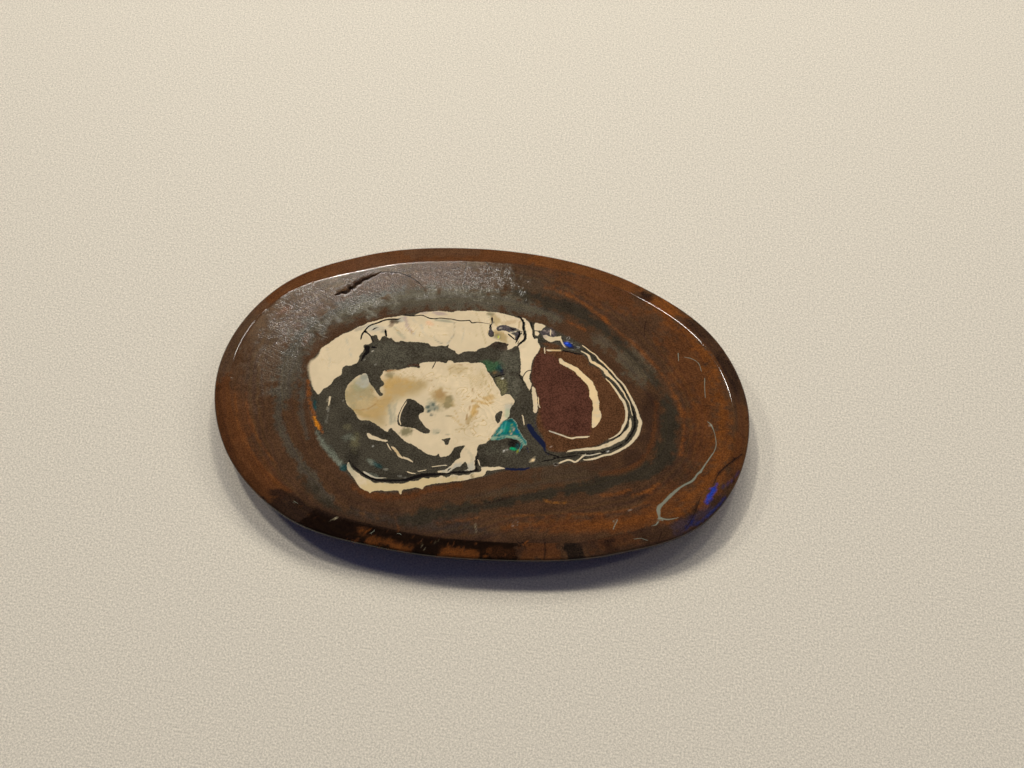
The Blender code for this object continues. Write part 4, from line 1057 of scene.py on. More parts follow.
def smoothed(path, closed=False, steps=3):
    """The path with points added on a smooth curve between the given ones."""
    path = np.array(path, dtype=float)
    count = len(path)
    ends = range(count) if closed else range(count - 1)
    result = []
    for i in ends:
        if closed:
            p0, p1, p2, p3 = (path[(i + k) % count] for k in (-1, 0, 1, 2))
        else:
            p0, p1, p2, p3 = (path[min(max(i + k, 0), count - 1)] for k in (-1, 0, 1, 2))
        for t in np.arange(steps) / steps:
            result.append(0.5 * (2 * p1 + (p2 - p0) * t + (2 * p0 - 5 * p1 + 4 * p2 - p3) * t * t
                                 + (3 * p1 - p0 - 3 * p2 + p3) * t ** 3))
    if not closed:
        result.append(path[-1])
    return np.array(result)


def smooth_step(value):
    value = np.clip(value, 0.0, 1.0)
    return value * value * (3.0 - 2.0 * value)


EDGE_BLOTCH = 0.9       # how blotched the edges of soft markings are
STRAY = 0.3             # how far their outlines stray


class Surface:
    """The skin's points in millimetres on the face, for measuring and painting."""

    def __init__(self, points):
        z = points[:, 2] / MM
        depth = np.maximum(MARK_TOP - z, 0.0)
        self.x = points[:, 0] / MM - VEIN_LEAN[0] * depth
        self.y = points[:, 1] / MM + VEIN_LEAN[1] * depth
        self.marked = z > 2.2
        self.direction = np.degrees(np.arctan2(points[:, 1], points[:, 0])) % 360.0
        rim = around(self.direction, RIM)
        outline = girdle(self.direction)
        inset = np.hypot(outline[:, 0], outline[:, 1]) - np.hypot(points[:, 0], points[:, 1])
        self.down = np.where(z > 2.5, 1.0 - inset / rim, 1.0 + (2.5 - z))
        self.drift = self.cloud(0.9, 2)
        self.blotch = self.cloud(0.3, 3)

    def cloud(self, size, octaves):
        """Cloudy noise with patches of a size in mm: about -1 to 1."""
        values = [noise.fractal((x / size, y / size, size), 0.7, 2.0, octaves) for x, y in zip(self.x, self.y)]
        return np.array(values)

    def blotchy(self, mask):
        """The mask with a blotched edge, as iron stains have."""
        return np.clip(mask + EDGE_BLOTCH * self.blotch * 4.0 * mask * (1.0 - mask), 0.0, 1.0)

    def close_to(self, low, high, reach):
        return np.nonzero((self.x > low[0] - reach) & (self.x < high[0] + reach) & (self.y > low[1] - reach)
                          & (self.y < high[1] + reach) & self.marked)[0]

    def from_path(self, path, reach, closed=False):
        """For each point: the distance to the path, the side it lies on and the path's width there."""
        distance = np.full(self.x.shape, reach)
        side = np.ones(self.x.shape)
        width = np.full(self.x.shape, path[0][2])
        following = np.roll(path, -1, axis=0) if closed else path[1:]
        for start, end in zip(path, following):
            near = self.close_to(np.minimum(start, end), np.maximum(start, end), reach)
            step = end[:2] - start[:2]
            if not len(near) or not step.any():
                continue
            px, py = self.x[near] - start[0], self.y[near] - start[1]
            t = np.clip((px * step[0] + py * step[1]) / step.dot(step), 0.0, 1.0)
            gap = np.hypot(px - step[0] * t, py - step[1] * t)
            closer = gap < distance[near]
            chosen = near[closer]
            distance[chosen] = gap[closer]
            side[chosen] = np.where(step[0] * py[closer] - step[1] * px[closer] < 0.0, -1.0, 1.0)
            width[chosen] = start[2] + (end[2] - start[2]) * t[closer]
        return distance, side, width

    def inside(self, path):
        low, high = path.min(axis=0), path.max(axis=0)
        near = self.close_to(low, high, 0.0)
        px, py = self.x[near], self.y[near]
        within = np.zeros(len(near), bool)
        for start, end in zip(path, np.roll(path, -1, axis=0)):
            crosses = (start[1] > py) != (end[1] > py)
            slope = (end[0] - start[0]) / (end[1] - start[1] if end[1] != start[1] else 1.0)
            within ^= crosses & (px < start[0] + (py - start[1]) * slope)
        result = np.zeros(self.x.shape, bool)
        result[near[within]] = True
        return result

    def depth_in(self, outline, reach=0.6):
        """How far each point lies inside a closed outline, in mm, and below zero outside it."""
        path = smoothed(outline, closed=True)
        distance = self.from_path(path, reach, closed=True)[0]
        return np.where(self.inside(path), distance, -distance)

    def streak(self, path, blur):
        distance, _, width = self.from_path(smoothed(path), 3.0)
        edge = width / 2.0 + self.drift * (STRAY * width + STRAY * blur)
        return self.blotchy(smooth_step((edge + blur - distance) / (2.0 * blur)))

    def patch(self, x, y, half_length, half_width, tilt):
        turn = math.radians(tilt)
        dx, dy = self.x - x, self.y - y
        along = (dx * math.cos(turn) + dy * math.sin(turn)) / half_length
        across = (dy * math.cos(turn) - dx * math.sin(turn)) / half_width
        edge = 1.5 + 2.0 * STRAY * self.drift
        return self.blotchy(smooth_step(edge - np.hypot(along, across)) * self.marked)

    def rim_patch(self, start, end, top, bottom):
        middle = (start + end) / 2.0
        off = np.abs((self.direction - middle + 180.0) % 360.0 - 180.0)
        ragged = 1.6 * self.drift + 0.25 * self.blotch
        sideways = ((end - start) / 2.0 - off) / 2.0 + 0.5 + ragged
        top_edge = smooth_step((self.down - top) / 0.1 + 0.5 + ragged * (top > 0.1))
        low_edge = smooth_step((bottom - self.down) / 0.2 + 0.5 + ragged)
        return self.blotchy(smooth_step(sideways) * low_edge) * top_edge


def paint(layer, colour, mask):
    layer += (COLOURS[colour] - layer) * mask[:, None]


def plain(surface, colour):
    return np.tile(COLOURS[colour], (len(surface.x), 1))


def paint_patches(surface, layer, patches):
    for colour, strength, x, y, length, width, tilt in patches:
        paint(layer, colour, surface.patch(x, y, length, width, tilt) * strength)


def paint_streaks(surface, layer, streaks):
    for colour, strength, blur, path in streaks:
        paint(layer, colour, surface.streak(trace(path), blur) * strength)


def paint_ground(surface):
    """The ironstone outside the nodule, and the darker stone inside it."""
    layer = plain(surface, "brown")
    paint_patches(surface, layer, OUTER_PATCHES)
    paint_streaks(surface, layer, OUTER_STREAKS)
    for colour, strength, start, end, top, bottom in RIM_PATCHES:
        paint(layer, colour, surface.rim_patch(start, end, top, bottom) * strength)
    for level, (colour, strength, start, end, top, bottom) in zip((0.55, 0.7), RIM_SPECKS):
        specks = smooth_step((surface.blotch - level) / 0.15)
        paint(layer, colour, surface.rim_patch(start, end, top, bottom) * specks * strength)
    paint_streaks(surface, layer, RIM_STREAKS)
    paint(layer, "matrix", smooth_step(surface.depth_in(NODULE) / 0.3 + 0.5))
    paint(layer, "nut_brown", smooth_step(surface.depth_in(NUT) / 0.2 + 0.5))
    paint(layer, "maroon", smooth_step(surface.depth_in(NUT_HEART) / 0.3 + 0.5))
    paint_patches(surface, layer, INNER_PATCHES)
    paint_streaks(surface, layer, INNER_STREAKS)
    return layer


def paint_opal(surface):
    """The opal's colour, where there is opal."""
    layer = plain(surface, "cream")
    paint(layer, "honey", smooth_step(surface.depth_in(HONEY_OPAL, 1.2) / 1.0 + 0.5) * 0.75)
    paint_patches(surface, layer, OPAL_PATCHES)
    paint_streaks(surface, layer, OPAL_STREAKS)
    teal = surface.depth_in(TEAL_OPAL)
    play = plain(surface, "teal")
    paint_streaks(surface, play, TEAL_STREAKS)
    layer += (play - layer) * smooth_step(teal / 0.1 + 0.8)[:, None]
    return layer


def paint_spots(surface):
    """Small spots that lie over all else: their colour, and how much of it shows."""
    layer = plain(surface, "white")
    cover = np.zeros(len(surface.x))
    for colour, strength, x, y, length, width, tilt in SPOTS:
        mask = surface.patch(x, y, length, width, tilt) * strength
        fresh = mask / np.maximum(mask + cover * (1.0 - mask), 1e-6)
        paint(layer, colour, np.clip(fresh, 0.0, 1.0))
        cover = mask + cover * (1.0 - mask)
    return layer, cover


def union(surface, outlines):
    return np.max([surface.depth_in(outline) for outline in outlines], axis=0)


def seam_depth(surface, seams):
    """How far each point lies inside the nearest seam, in mm, and below zero outside them all."""
    result = np.full(surface.x.shape, -0.6)
    for seam in seams:
        distance, _, width = surface.from_path(smoothed(seam), 0.8)
        result = np.maximum(result, width / 2.0 - distance)
    return result


VEIN_GUARD = 0.09     # about half a cell, in mm: keeps a vein's two sides apart


def vein_places(surface, veins):
    """For a set of thin veins: the place across the nearest one, and the distance from it.

    Both are in half-widths. The first changes sign on the vein, so it stays sharp between points
    of the skin; the second says how near the vein is, so that no false one shows elsewhere.
    """
    best = np.full(surface.x.shape, 9.0)
    across = np.full(surface.x.shape, 9.0)
    for vein in veins:
        distance, side, width = surface.from_path(smoothed(vein), 0.8)
        half = np.maximum(width / 2.0, 0.02)
        reach = (distance - VEIN_GUARD) / half
        closer = reach < best
        best = np.where(closer, reach, best)
        across = np.where(closer, side * distance / half, across)
    return across, np.clip(best, -4.0, 9.0)


def give(mesh, name, values):
    attribute = mesh.attributes.new(name, 'FLOAT', 'POINT')
    attribute.data.foreach_set("value", np.asarray(values, dtype=np.float32))


def give_colour(mesh, name, colours, cover=None):
    cover = np.ones(len(colours)) if cover is None else cover
    attribute = mesh.attributes.new(name, 'FLOAT_COLOR', 'POINT')
    values = np.column_stack((colours, cover)).astype(np.float32)
    attribute.data.foreach_set("color", values.ravel())


def mark_skin(mesh, points):
    """Stores every marking on the skin, for the materials to read."""
    surface = Surface(points)
    give_colour(mesh, "ground", paint_ground(surface))
    give_colour(mesh, "opal_tone", paint_opal(surface))
    give_colour(mesh, "spots", *paint_spots(surface))
    opal = np.minimum(union(surface, OPAL), -union(surface, GAPS))
    give(mesh, "opal", opal)
    haze = smooth_step(1.0 - (surface.x + 14.9) / 1.2) * smooth_step((3.0 - surface.y) / 1.5)
    give(mesh, "opal_blur", FEATHER + (CRESCENT_BLUR - FEATHER) * haze)
    give(mesh, "nodule", -surface.depth_in(NODULE, 10.0))
    brushed = [surface.patch(x, y, length, width, tilt) * share for share, x, y, length, width, tilt in BRUSHED]
    give(mesh, "brushed", np.max(brushed, axis=0) * smooth_step(-surface.down / 0.05))
    folds = [surface.patch(x, y, length, width, tilt) * share for share, x, y, length, width, tilt in FOLDS]
    give(mesh, "folds", np.max(folds, axis=0))
    give(mesh, "black", seam_depth(surface, BLACK_SEAMS))
    give(mesh, "navy", seam_depth(surface, NAVY_SEAMS))
    thin_lines = {"dark_crack": DARK_CRACKS, "pale_crack": PALE_CRACKS_AND_GLINTS, "stone_crack": STONE_CRACKS}
    thin_lines.update({f"vein_{i}": group for i, group in enumerate(PALE_VEINS)})
    for name, veins in thin_lines.items():
        across, reach = vein_places(surface, veins)
        give(mesh, name + "_across", across)
        give(mesh, name + "_reach", reach)


def unfold(mesh, points):
    """The bake map: the face and the rim seen from above, and the underside at half that size."""
    count = len(mesh.loops)
    corners = np.empty(count, int)
    mesh.loops.foreach_get("vertex_index", corners)
    sizes = np.array([len(polygon.vertices) for polygon in mesh.polygons])
    sawn = np.empty(len(mesh.polygons), bool)
    mesh.attributes["sawn"].data.foreach_get("value", sawn)
    under = np.repeat(sawn, sizes)
    place = points[corners]
    plan_length = np.maximum(np.hypot(place[:, 0], place[:, 1]), 1e-9)
    outward = place[:, :2] / plan_length[:, None]
    top_span, under_span = LENGTH * 1.03, LENGTH * 1.10
    top = place[:, :2] + outward * (0.8 * (FACE_EDGE_HEIGHT - np.minimum(place[:, 2], FACE_EDGE_HEIGHT)))[:, None]
    top = top / top_span + np.array((0.5, 0.332))
    below = place[:, :2] + outward * (0.5 * place[:, 2])[:, None]
    below = below / (under_span * 2.0) + np.array((0.26, 0.835))
    uv = np.where(under[:, None], below, top)
    layer = mesh.uv_layers.new(name="OFBake")
    layer.uv.foreach_set("vector", uv.astype(np.float32).ravel())

# ---- Node helpers ----


class Nodes:
    """Adds nodes to a tree and joins them up, with inputs given as values or as other sockets."""

    def __init__(self, tree):
        self.tree = tree

    def add(self, kind, inputs=None, **settings):
        node = self.tree.nodes.new(kind)
        for name, value in settings.items():
            setattr(node, name, value)
        for key, value in (inputs or {}).items():
            self.feed(node.inputs[key], value)
        return node

    def feed(self, socket, value):
        if isinstance(value, bpy.types.NodeSocket):
            self.tree.links.new(value, socket)
        elif not isinstance(value, str) and hasattr(value, "__len__"):
            size = len(socket.default_value)
            socket.default_value = (tuple(value) + (1.0,))[:size]
        else:
            socket.default_value = value

    def math(self, operation, a, b=0.0, clamp=False):
        node = self.add("ShaderNodeMath", {0: a, 1: b}, operation=operation, use_clamp=clamp)
        return node.outputs[0]

    def ramp(self, value, low, high, to_low=0.0, to_high=1.0, smooth=True):
        """The value's place between low and high, as a share from to_low to to_high."""
        node = self.add("ShaderNodeMapRange", {0: value, 1: low, 2: high, 3: to_low, 4: to_high})
        node.interpolation_type = 'SMOOTHSTEP' if smooth else 'LINEAR'
        return node.outputs[0]

    def mix(self, share, a, b, blend='MIX'):
        node = self.add("ShaderNodeMix", data_type='RGBA', blend_type=blend)
        for socket, value in ((node.inputs[0], share), (node.inputs[6], a), (node.inputs[7], b)):
            self.feed(socket, value)
        return node.outputs[2]


def start_group(name, inputs, outputs):
    """A shader group with named number inputs and named outputs."""
    group = bpy.data.node_groups.new(name, "ShaderNodeTree")
    for label, default in inputs:
        socket = group.interface.new_socket(name=label, in_out='INPUT', socket_type='NodeSocketFloat')
        socket.default_value = default
    for label in outputs:
        group.interface.new_socket(name=label, in_out='OUTPUT', socket_type='NodeSocketFloat')
    nodes = Nodes(group)
    return group, nodes, nodes.add("NodeGroupInput").outputs, nodes.add("NodeGroupOutput").inputs


def place_group(nodes, group, **values):
    node = nodes.add("ShaderNodeGroup", node_tree=group)
    for label, value in values.items():
        nodes.feed(node.inputs[label.replace("_", " ")], value)
    return node.outputs


# ---- Surface effects that the materials share ----


def stone_grain_group():
    """Fine mottling and speckle of ironstone. Sizes are in millimetres."""
    group, nodes, inputs, outputs = start_group(
        "stone grain", (("Grain Size", 0.1), ("Cloud Size", 1.2), ("Contrast", 1.0)),
        ("Brightness", "Clouds", "Height"))
    place = nodes.add("ShaderNodeTexCoord").outputs["Object"]
    grain_scale = nodes.math('DIVIDE', 1.0 / MM, inputs["Grain Size"])
    cloud_scale = nodes.math('DIVIDE', 1.0 / MM, inputs["Cloud Size"])
    grain = nodes.add("ShaderNodeTexNoise", {"Vector": place, "Scale": grain_scale, "Detail": 2.0}).outputs[0]
    clouds = nodes.add("ShaderNodeTexNoise", {"Vector": place, "Scale": cloud_scale, "Detail": 5.0,
                                              "Roughness": 0.6, "Distortion": 0.4}).outputs[0]
    speckle = nodes.ramp(grain, 0.35, 0.65, -1.0, 1.0, smooth=False)
    drift = nodes.ramp(clouds, 0.3, 0.7, -1.0, 1.0, smooth=False)
    change = nodes.math('ADD', nodes.math('MULTIPLY', speckle, 0.30), nodes.math('MULTIPLY', drift, 0.16))
    nodes.feed(outputs["Brightness"], nodes.math('ADD', 1.0, nodes.math('MULTIPLY', change, inputs["Contrast"])))
    nodes.feed(outputs["Clouds"], clouds)
    nodes.feed(outputs["Height"], grain)
    return group


def scratches_group():
    """Fine parallel scratches, left by polishing or sawing. The spacing is in millimetres."""
    group, nodes, inputs, outputs = start_group(
        "fine scratches", (("Spacing", 0.08), ("Length", 3.0), ("Turn", 0.5)), ("Height",))
    place = nodes.add("ShaderNodeTexCoord").outputs["Object"]
    turn = nodes.add("ShaderNodeCombineXYZ", {2: inputs["Turn"]}).outputs[0]
    size = nodes.add("ShaderNodeCombineXYZ", {
        0: nodes.math('DIVIDE', 1.0 / MM, inputs["Length"]),
        1: nodes.math('DIVIDE', 1.0 / MM, inputs["Spacing"]),
        2: 1.0 / MM}).outputs[0]
    turned = nodes.add("ShaderNodeMapping", {"Vector": place, "Rotation": turn}).outputs[0]
    drawn = nodes.add("ShaderNodeVectorMath", {0: turned, 1: size}, operation='MULTIPLY').outputs[0]
    lines = nodes.add("ShaderNodeTexNoise", {"Vector": drawn, "Scale": 1.0, "Detail": 3.0}).outputs[0]
    nodes.feed(outputs["Height"], lines)
    return group


def thin_vein_group():
    """The mask of a thin vein, from the places stored on the skin, with a slightly uneven edge."""
    group, nodes, inputs, outputs = start_group(
        "thin vein", (("Across", 9.0), ("Reach", 9.0), ("Unevenness", 0.3), ("Edge", 0.2)), ("Mask",))
    place = nodes.add("ShaderNodeTexCoord").outputs["Object"]
    noise = nodes.add("ShaderNodeTexNoise", {"Vector": place, "Scale": 4.0 / MM, "Detail": 2.0}).outputs[0]
    across = nodes.math('ABSOLUTE', inputs["Across"])
    outer = nodes.math('MAXIMUM', across, inputs["Reach"])
    wobble = nodes.math('MULTIPLY', nodes.math('SUBTRACT', noise, 0.5), inputs["Unevenness"])
    place_across = nodes.math('ADD', outer, wobble)
    nodes.feed(outputs["Mask"], nodes.ramp(place_across, nodes.math('SUBTRACT', 1.0, inputs["Edge"]),
                                           nodes.math('ADD', 1.0, inputs["Edge"]), 1.0, 0.0))
    return group


# ---- Materials ----


def start_material(name):
    material = bpy.data.materials.new(name)
    material.use_nodes = True
    nodes = Nodes(material.node_tree)
    return material, nodes, material.node_tree.nodes["Principled BSDF"]


def stored(nodes, name, output="Fac"):
    return nodes.add("ShaderNodeAttribute", attribute_name=name).outputs[output]


def scaled(nodes, colour, brightness):
    """The colour made lighter or darker."""
    grey = nodes.add("ShaderNodeCombineColor", {0: brightness, 1: brightness, 2: brightness}).outputs[0]
    return nodes.mix(1.0, colour, grey, blend='MULTIPLY')


def folded_opal(nodes, colour):
    """Thin folds in the opal: a fine honey line along each, and a slight step in tone."""
    place = nodes.add("ShaderNodeTexCoord").outputs["Object"]
    waves = nodes.add("ShaderNodeTexNoise", {"Vector": place, "Scale": 0.42 / MM, "Detail": 2.5,
                                             "Roughness": 0.55, "Distortion": 1.6}).outputs[0]
    steps = nodes.math('FRACT', nodes.math('MULTIPLY', waves, 9.0))
    breaks = nodes.add("ShaderNodeTexNoise", {"Vector": place, "Scale": 1.1 / MM, "Detail": 2.0}).outputs[0]
    line = nodes.math('MULTIPLY', nodes.ramp(steps, 0.0, 0.16, 1.0, 0.0), nodes.ramp(breaks, 0.42, 0.60))
    folds = stored(nodes, "folds")
    colour = nodes.mix(nodes.math('MULTIPLY', line, nodes.math('MULTIPLY', folds, 0.95)), colour, COLOURS["gold"])
    tone_step = nodes.ramp(nodes.math('MULTIPLY', steps, folds), 0.0, 1.0, 0.92, 1.06, smooth=False)
    return scaled(nodes, colour, tone_step)


def polished_stone(grain, scratches, thin_vein):
    """The polished face, rim and girdle, with every marking."""
    material, nodes, shader = start_material("polished_boulder_opal")
    place = nodes.add("ShaderNodeTexCoord").outputs["Object"]
    texture = place_group(nodes, grain, Grain_Size=0.11, Cloud_Size=1.5, Contrast=1.1)

    # Thin growth bands in the ironstone follow the nodule's outline.
    nodule = stored(nodes, "nodule")
    ragged = nodes.add("ShaderNodeTexNoise", {"Vector": place, "Scale": 0.5 / MM, "Detail": 3.0}).outputs[0]
    band_place = nodes.math('ADD', nodule, nodes.math('MULTIPLY', ragged, 0.8))
    bands = nodes.add("ShaderNodeTexNoise", {"W": band_place, "Scale": 3.0, "Detail": 4.0},
                      noise_dimensions='1D').outputs[0]
    band_light = nodes.ramp(bands, 0.3, 0.7, 0.89, 1.11, smooth=False)
    band_warmth = nodes.ramp(bands, 0.3, 0.7, 1.04, 0.86, smooth=False)
    outside = nodes.ramp(nodule, -0.1, 0.6)
    band_light = nodes.mix(outside, (1, 1, 1, 1), nodes.add("ShaderNodeCombineColor", {
        0: band_light, 1: band_light, 2: nodes.math('MULTIPLY', band_light, band_warmth)}).outputs[0])
    ground = nodes.mix(1.0, stored(nodes, "ground", "Color"), band_light, blend='MULTIPLY')
    speckle = nodes.math('SUBTRACT', texture["Brightness"], 1.0)
    speckle = nodes.math('MULTIPLY', speckle, nodes.ramp(nodule, -0.2, 0.3, 1.25, 1.0))
    colour = scaled(nodes, ground, nodes.math('ADD', 1.0, speckle))

    # The seams of dark stone, then the opal over them.
    fine = nodes.add("ShaderNodeTexNoise", {"Vector": place, "Scale": 5.0 / MM, "Detail": 3.0}).outputs[0]
    ragged_edge = nodes.math('MULTIPLY', nodes.math('SUBTRACT', fine, 0.5), 0.16)
    for name, seam_colour in (("black", "black"), ("navy", "navy")):
        depth = nodes.math('ADD', stored(nodes, name), ragged_edge)
        colour = nodes.mix(nodes.ramp(depth, -0.05, 0.05), colour, COLOURS[seam_colour])
    light = nodes.ramp(texture["Clouds"], 0.3, 0.7, 0.93, 1.05, smooth=False)
    opal_colour = scaled(nodes, stored(nodes, "opal_tone", "Color"), light)
    opal_colour = folded_opal(nodes, opal_colour)
    # The pale cracks, and painted glints on the chips by the near rim, in grey-green.
    cracks = place_group(nodes, thin_vein, Across=stored(nodes, "pale_crack_across"),
                         Reach=stored(nodes, "pale_crack_reach"), Unevenness=0.8, Edge=0.35)["Mask"]
    colour = nodes.mix(nodes.math('MULTIPLY', cracks, 0.75), colour, COLOURS["celadon"])
    for i in range(len(PALE_VEINS)):
        veins = place_group(nodes, thin_vein, Across=stored(nodes, f"vein_{i}_across"),
                            Reach=stored(nodes, f"vein_{i}_reach"), Unevenness=0.9, Edge=0.25)["Mask"]
        colour = nodes.mix(veins, colour, opal_colour)
    depth = nodes.math('ADD', stored(nodes, "opal"), ragged_edge)
    blur = stored(nodes, "opal_blur")
    opal = nodes.ramp(depth, nodes.math('MULTIPLY', blur, -1.0), blur)
    colour = nodes.mix(opal, colour, opal_colour)

    dark = place_group(nodes, thin_vein, Across=stored(nodes, "dark_crack_across"),
                       Reach=stored(nodes, "dark_crack_reach"), Unevenness=0.9, Edge=0.35)["Mask"]
    colour = nodes.mix(dark, colour, COLOURS["black"])
    hairs = place_group(nodes, thin_vein, Across=stored(nodes, "stone_crack_across"),
                        Reach=stored(nodes, "stone_crack_reach"), Unevenness=0.9, Edge=0.4)["Mask"]
    colour = nodes.mix(nodes.math('MULTIPLY', hairs, 0.8), colour, COLOURS["black_brown"])
    colour = nodes.mix(stored(nodes, "spots", "Alpha"), colour, stored(nodes, "spots", "Color"))

    # A mirror polish, apart from where the last brushing still shows.
    brushed = stored(nodes, "brushed")
    marks = place_group(nodes, scratches, Spacing=0.06, Length=4.0, Turn=0.9)["Height"]
    strokes = nodes.math('ADD', place_group(nodes, scratches, Spacing=0.07, Length=0.9, Turn=1.2)["Height"],
                         place_group(nodes, scratches, Spacing=0.07, Length=0.7, Turn=0.3)["Height"])
    # The strokes are painted lighter and darker into the colour where brushed: partly the scratches' own paler colour,
    # partly painted sheen where they catch the light.
    stroke_light = nodes.math('MULTIPLY', nodes.ramp(strokes, 0.9, 1.1, -0.3, 0.3, smooth=False), brushed)
    nodes.feed(shader.inputs["Base Color"], scaled(nodes, colour, nodes.math('ADD', 1.0, stroke_light)))
    rough = nodes.math('ADD', nodes.ramp(marks, 0.35, 0.65, 0.05, 0.07, smooth=False),
                       nodes.math('MULTIPLY', brushed, 0.10))
    nodes.feed(shader.inputs["Roughness"], rough)
    height = nodes.math('ADD', nodes.math('MULTIPLY', texture["Height"], 0.06), nodes.math('MULTIPLY', marks, 0.02))
    height = nodes.math('ADD', height, nodes.math('MULTIPLY', nodes.math('SUBTRACT', strokes, 1.0), nodes.math('MULTIPLY', brushed, 2.0)))
    bump = nodes.add("ShaderNodeBump", {"Height": height, "Strength": 1.0, "Distance": 0.010 * MM})
    nodes.feed(shader.inputs["Normal"], bump.outputs[0])
    return material


def sawn_stone(grain, scratches):
    """The flat back and the undercut, sawn and left dull."""
    material, nodes, shader = start_material("sawn_ironstone")
    texture = place_group(nodes, grain, Grain_Size=0.16, Cloud_Size=2.6, Contrast=2.0)
    clouds = nodes.ramp(texture["Clouds"], 0.42, 0.62)
    colour = nodes.mix(clouds, COLOURS["brown"], COLOURS["rust_brown"])
    dark = nodes.ramp(texture["Clouds"], 0.38, 0.30)
    colour = nodes.mix(nodes.math('MULTIPLY', dark, 0.6), colour, COLOURS["smoke"])
    colour = scaled(nodes, colour, texture["Brightness"])
    saw = place_group(nodes, scratches, Spacing=0.25, Length=12.0, Turn=0.35)["Height"]
    colour = scaled(nodes, colour, nodes.ramp(saw, 0.3, 0.7, 0.88, 1.08, smooth=False))
    nodes.feed(shader.inputs["Base Color"], colour)
    nodes.feed(shader.inputs["Roughness"], nodes.ramp(saw, 0.3, 0.7, 0.5, 0.68, smooth=False))
    height = nodes.math('ADD', saw, nodes.math('MULTIPLY', texture["Height"], 0.6))
    bump = nodes.add("ShaderNodeBump", {"Height": height, "Strength": 0.5, "Distance": 0.03 * MM})
    nodes.feed(shader.inputs["Normal"], bump.outputs[0])
    return material


def pale_floor():
    material, nodes, shader = start_material("pale_floor")
    place = nodes.add("ShaderNodeTexCoord").outputs["Object"]
    grain = nodes.add("ShaderNodeTexNoise", {"Vector": place, "Scale": 6.5 / MM, "Detail": 2.0,
                                             "Roughness": 0.7}).outputs[0]
    light = nodes.ramp(grain, 0.3, 0.7, 0.72, 1.28, smooth=False)
    nodes.feed(shader.inputs["Base Color"], scaled(nodes, (0.60, 0.56, 0.50, 1.0), light))
    shader.inputs["Roughness"].default_value = 0.55
    bump = nodes.add("ShaderNodeBump", {"Height": grain, "Strength": 0.5, "Distance": 0.05 * MM})
    nodes.feed(shader.inputs["Normal"], bump.outputs[0])
    return material


# ---- Wear, by Geometry Nodes ----


def path_object(name, points, numbers):
    """A line of points, with named numbers stored on each, for the wear tree to follow."""
    mesh = bpy.data.meshes.new(name)
    edges = [(i, i + 1) for i in range(len(points) - 1)] if name == "fissure_path" else []
    mesh.from_pydata([tuple(point) for point in points], edges, [])
    for label, values in numbers.items():
        give(mesh, label, values)
    piece = bpy.data.objects.new(name, mesh)
    bpy.context.collection.objects.link(piece)
    return piece


def on_skin(surface, points, x, y):
    """The skin's point that shows at a marking's place."""
    gap = np.hypot(surface.x - x, surface.y - y) + 100.0 * ~surface.marked
    return points[np.argmin(gap)]


def groove(nodes, path, kind):
    """How deep the skin is cut, from the nearest point of a path that carries width and depth."""
    target = nodes.add("GeometryNodeObjectInfo", {"Object": path}).outputs["Geometry"]
    distance = nodes.add("GeometryNodeProximity", {"Geometry": target}, target_element=kind).outputs["Distance"]
    nearest = nodes.add("GeometryNodeSampleNearest", {"Geometry": target}, domain='POINT').outputs["Index"]
    found = []
    for label in ("half_width", "depth"):
        value = nodes.add("GeometryNodeInputNamedAttribute", {"Name": label}, data_type='FLOAT').outputs["Attribute"]
        sample = nodes.add("GeometryNodeSampleIndex", data_type='FLOAT', domain='POINT')
        nodes.feed(sample.inputs["Geometry"], target)
        nodes.feed(sample.inputs["Value"], value)
        nodes.feed(sample.inputs["Index"], nearest)
        found.append(sample.outputs[0])
    half_width, depth = found
    return distance, half_width, nodes.ramp(distance, 0.0, half_width, depth, 0.0)


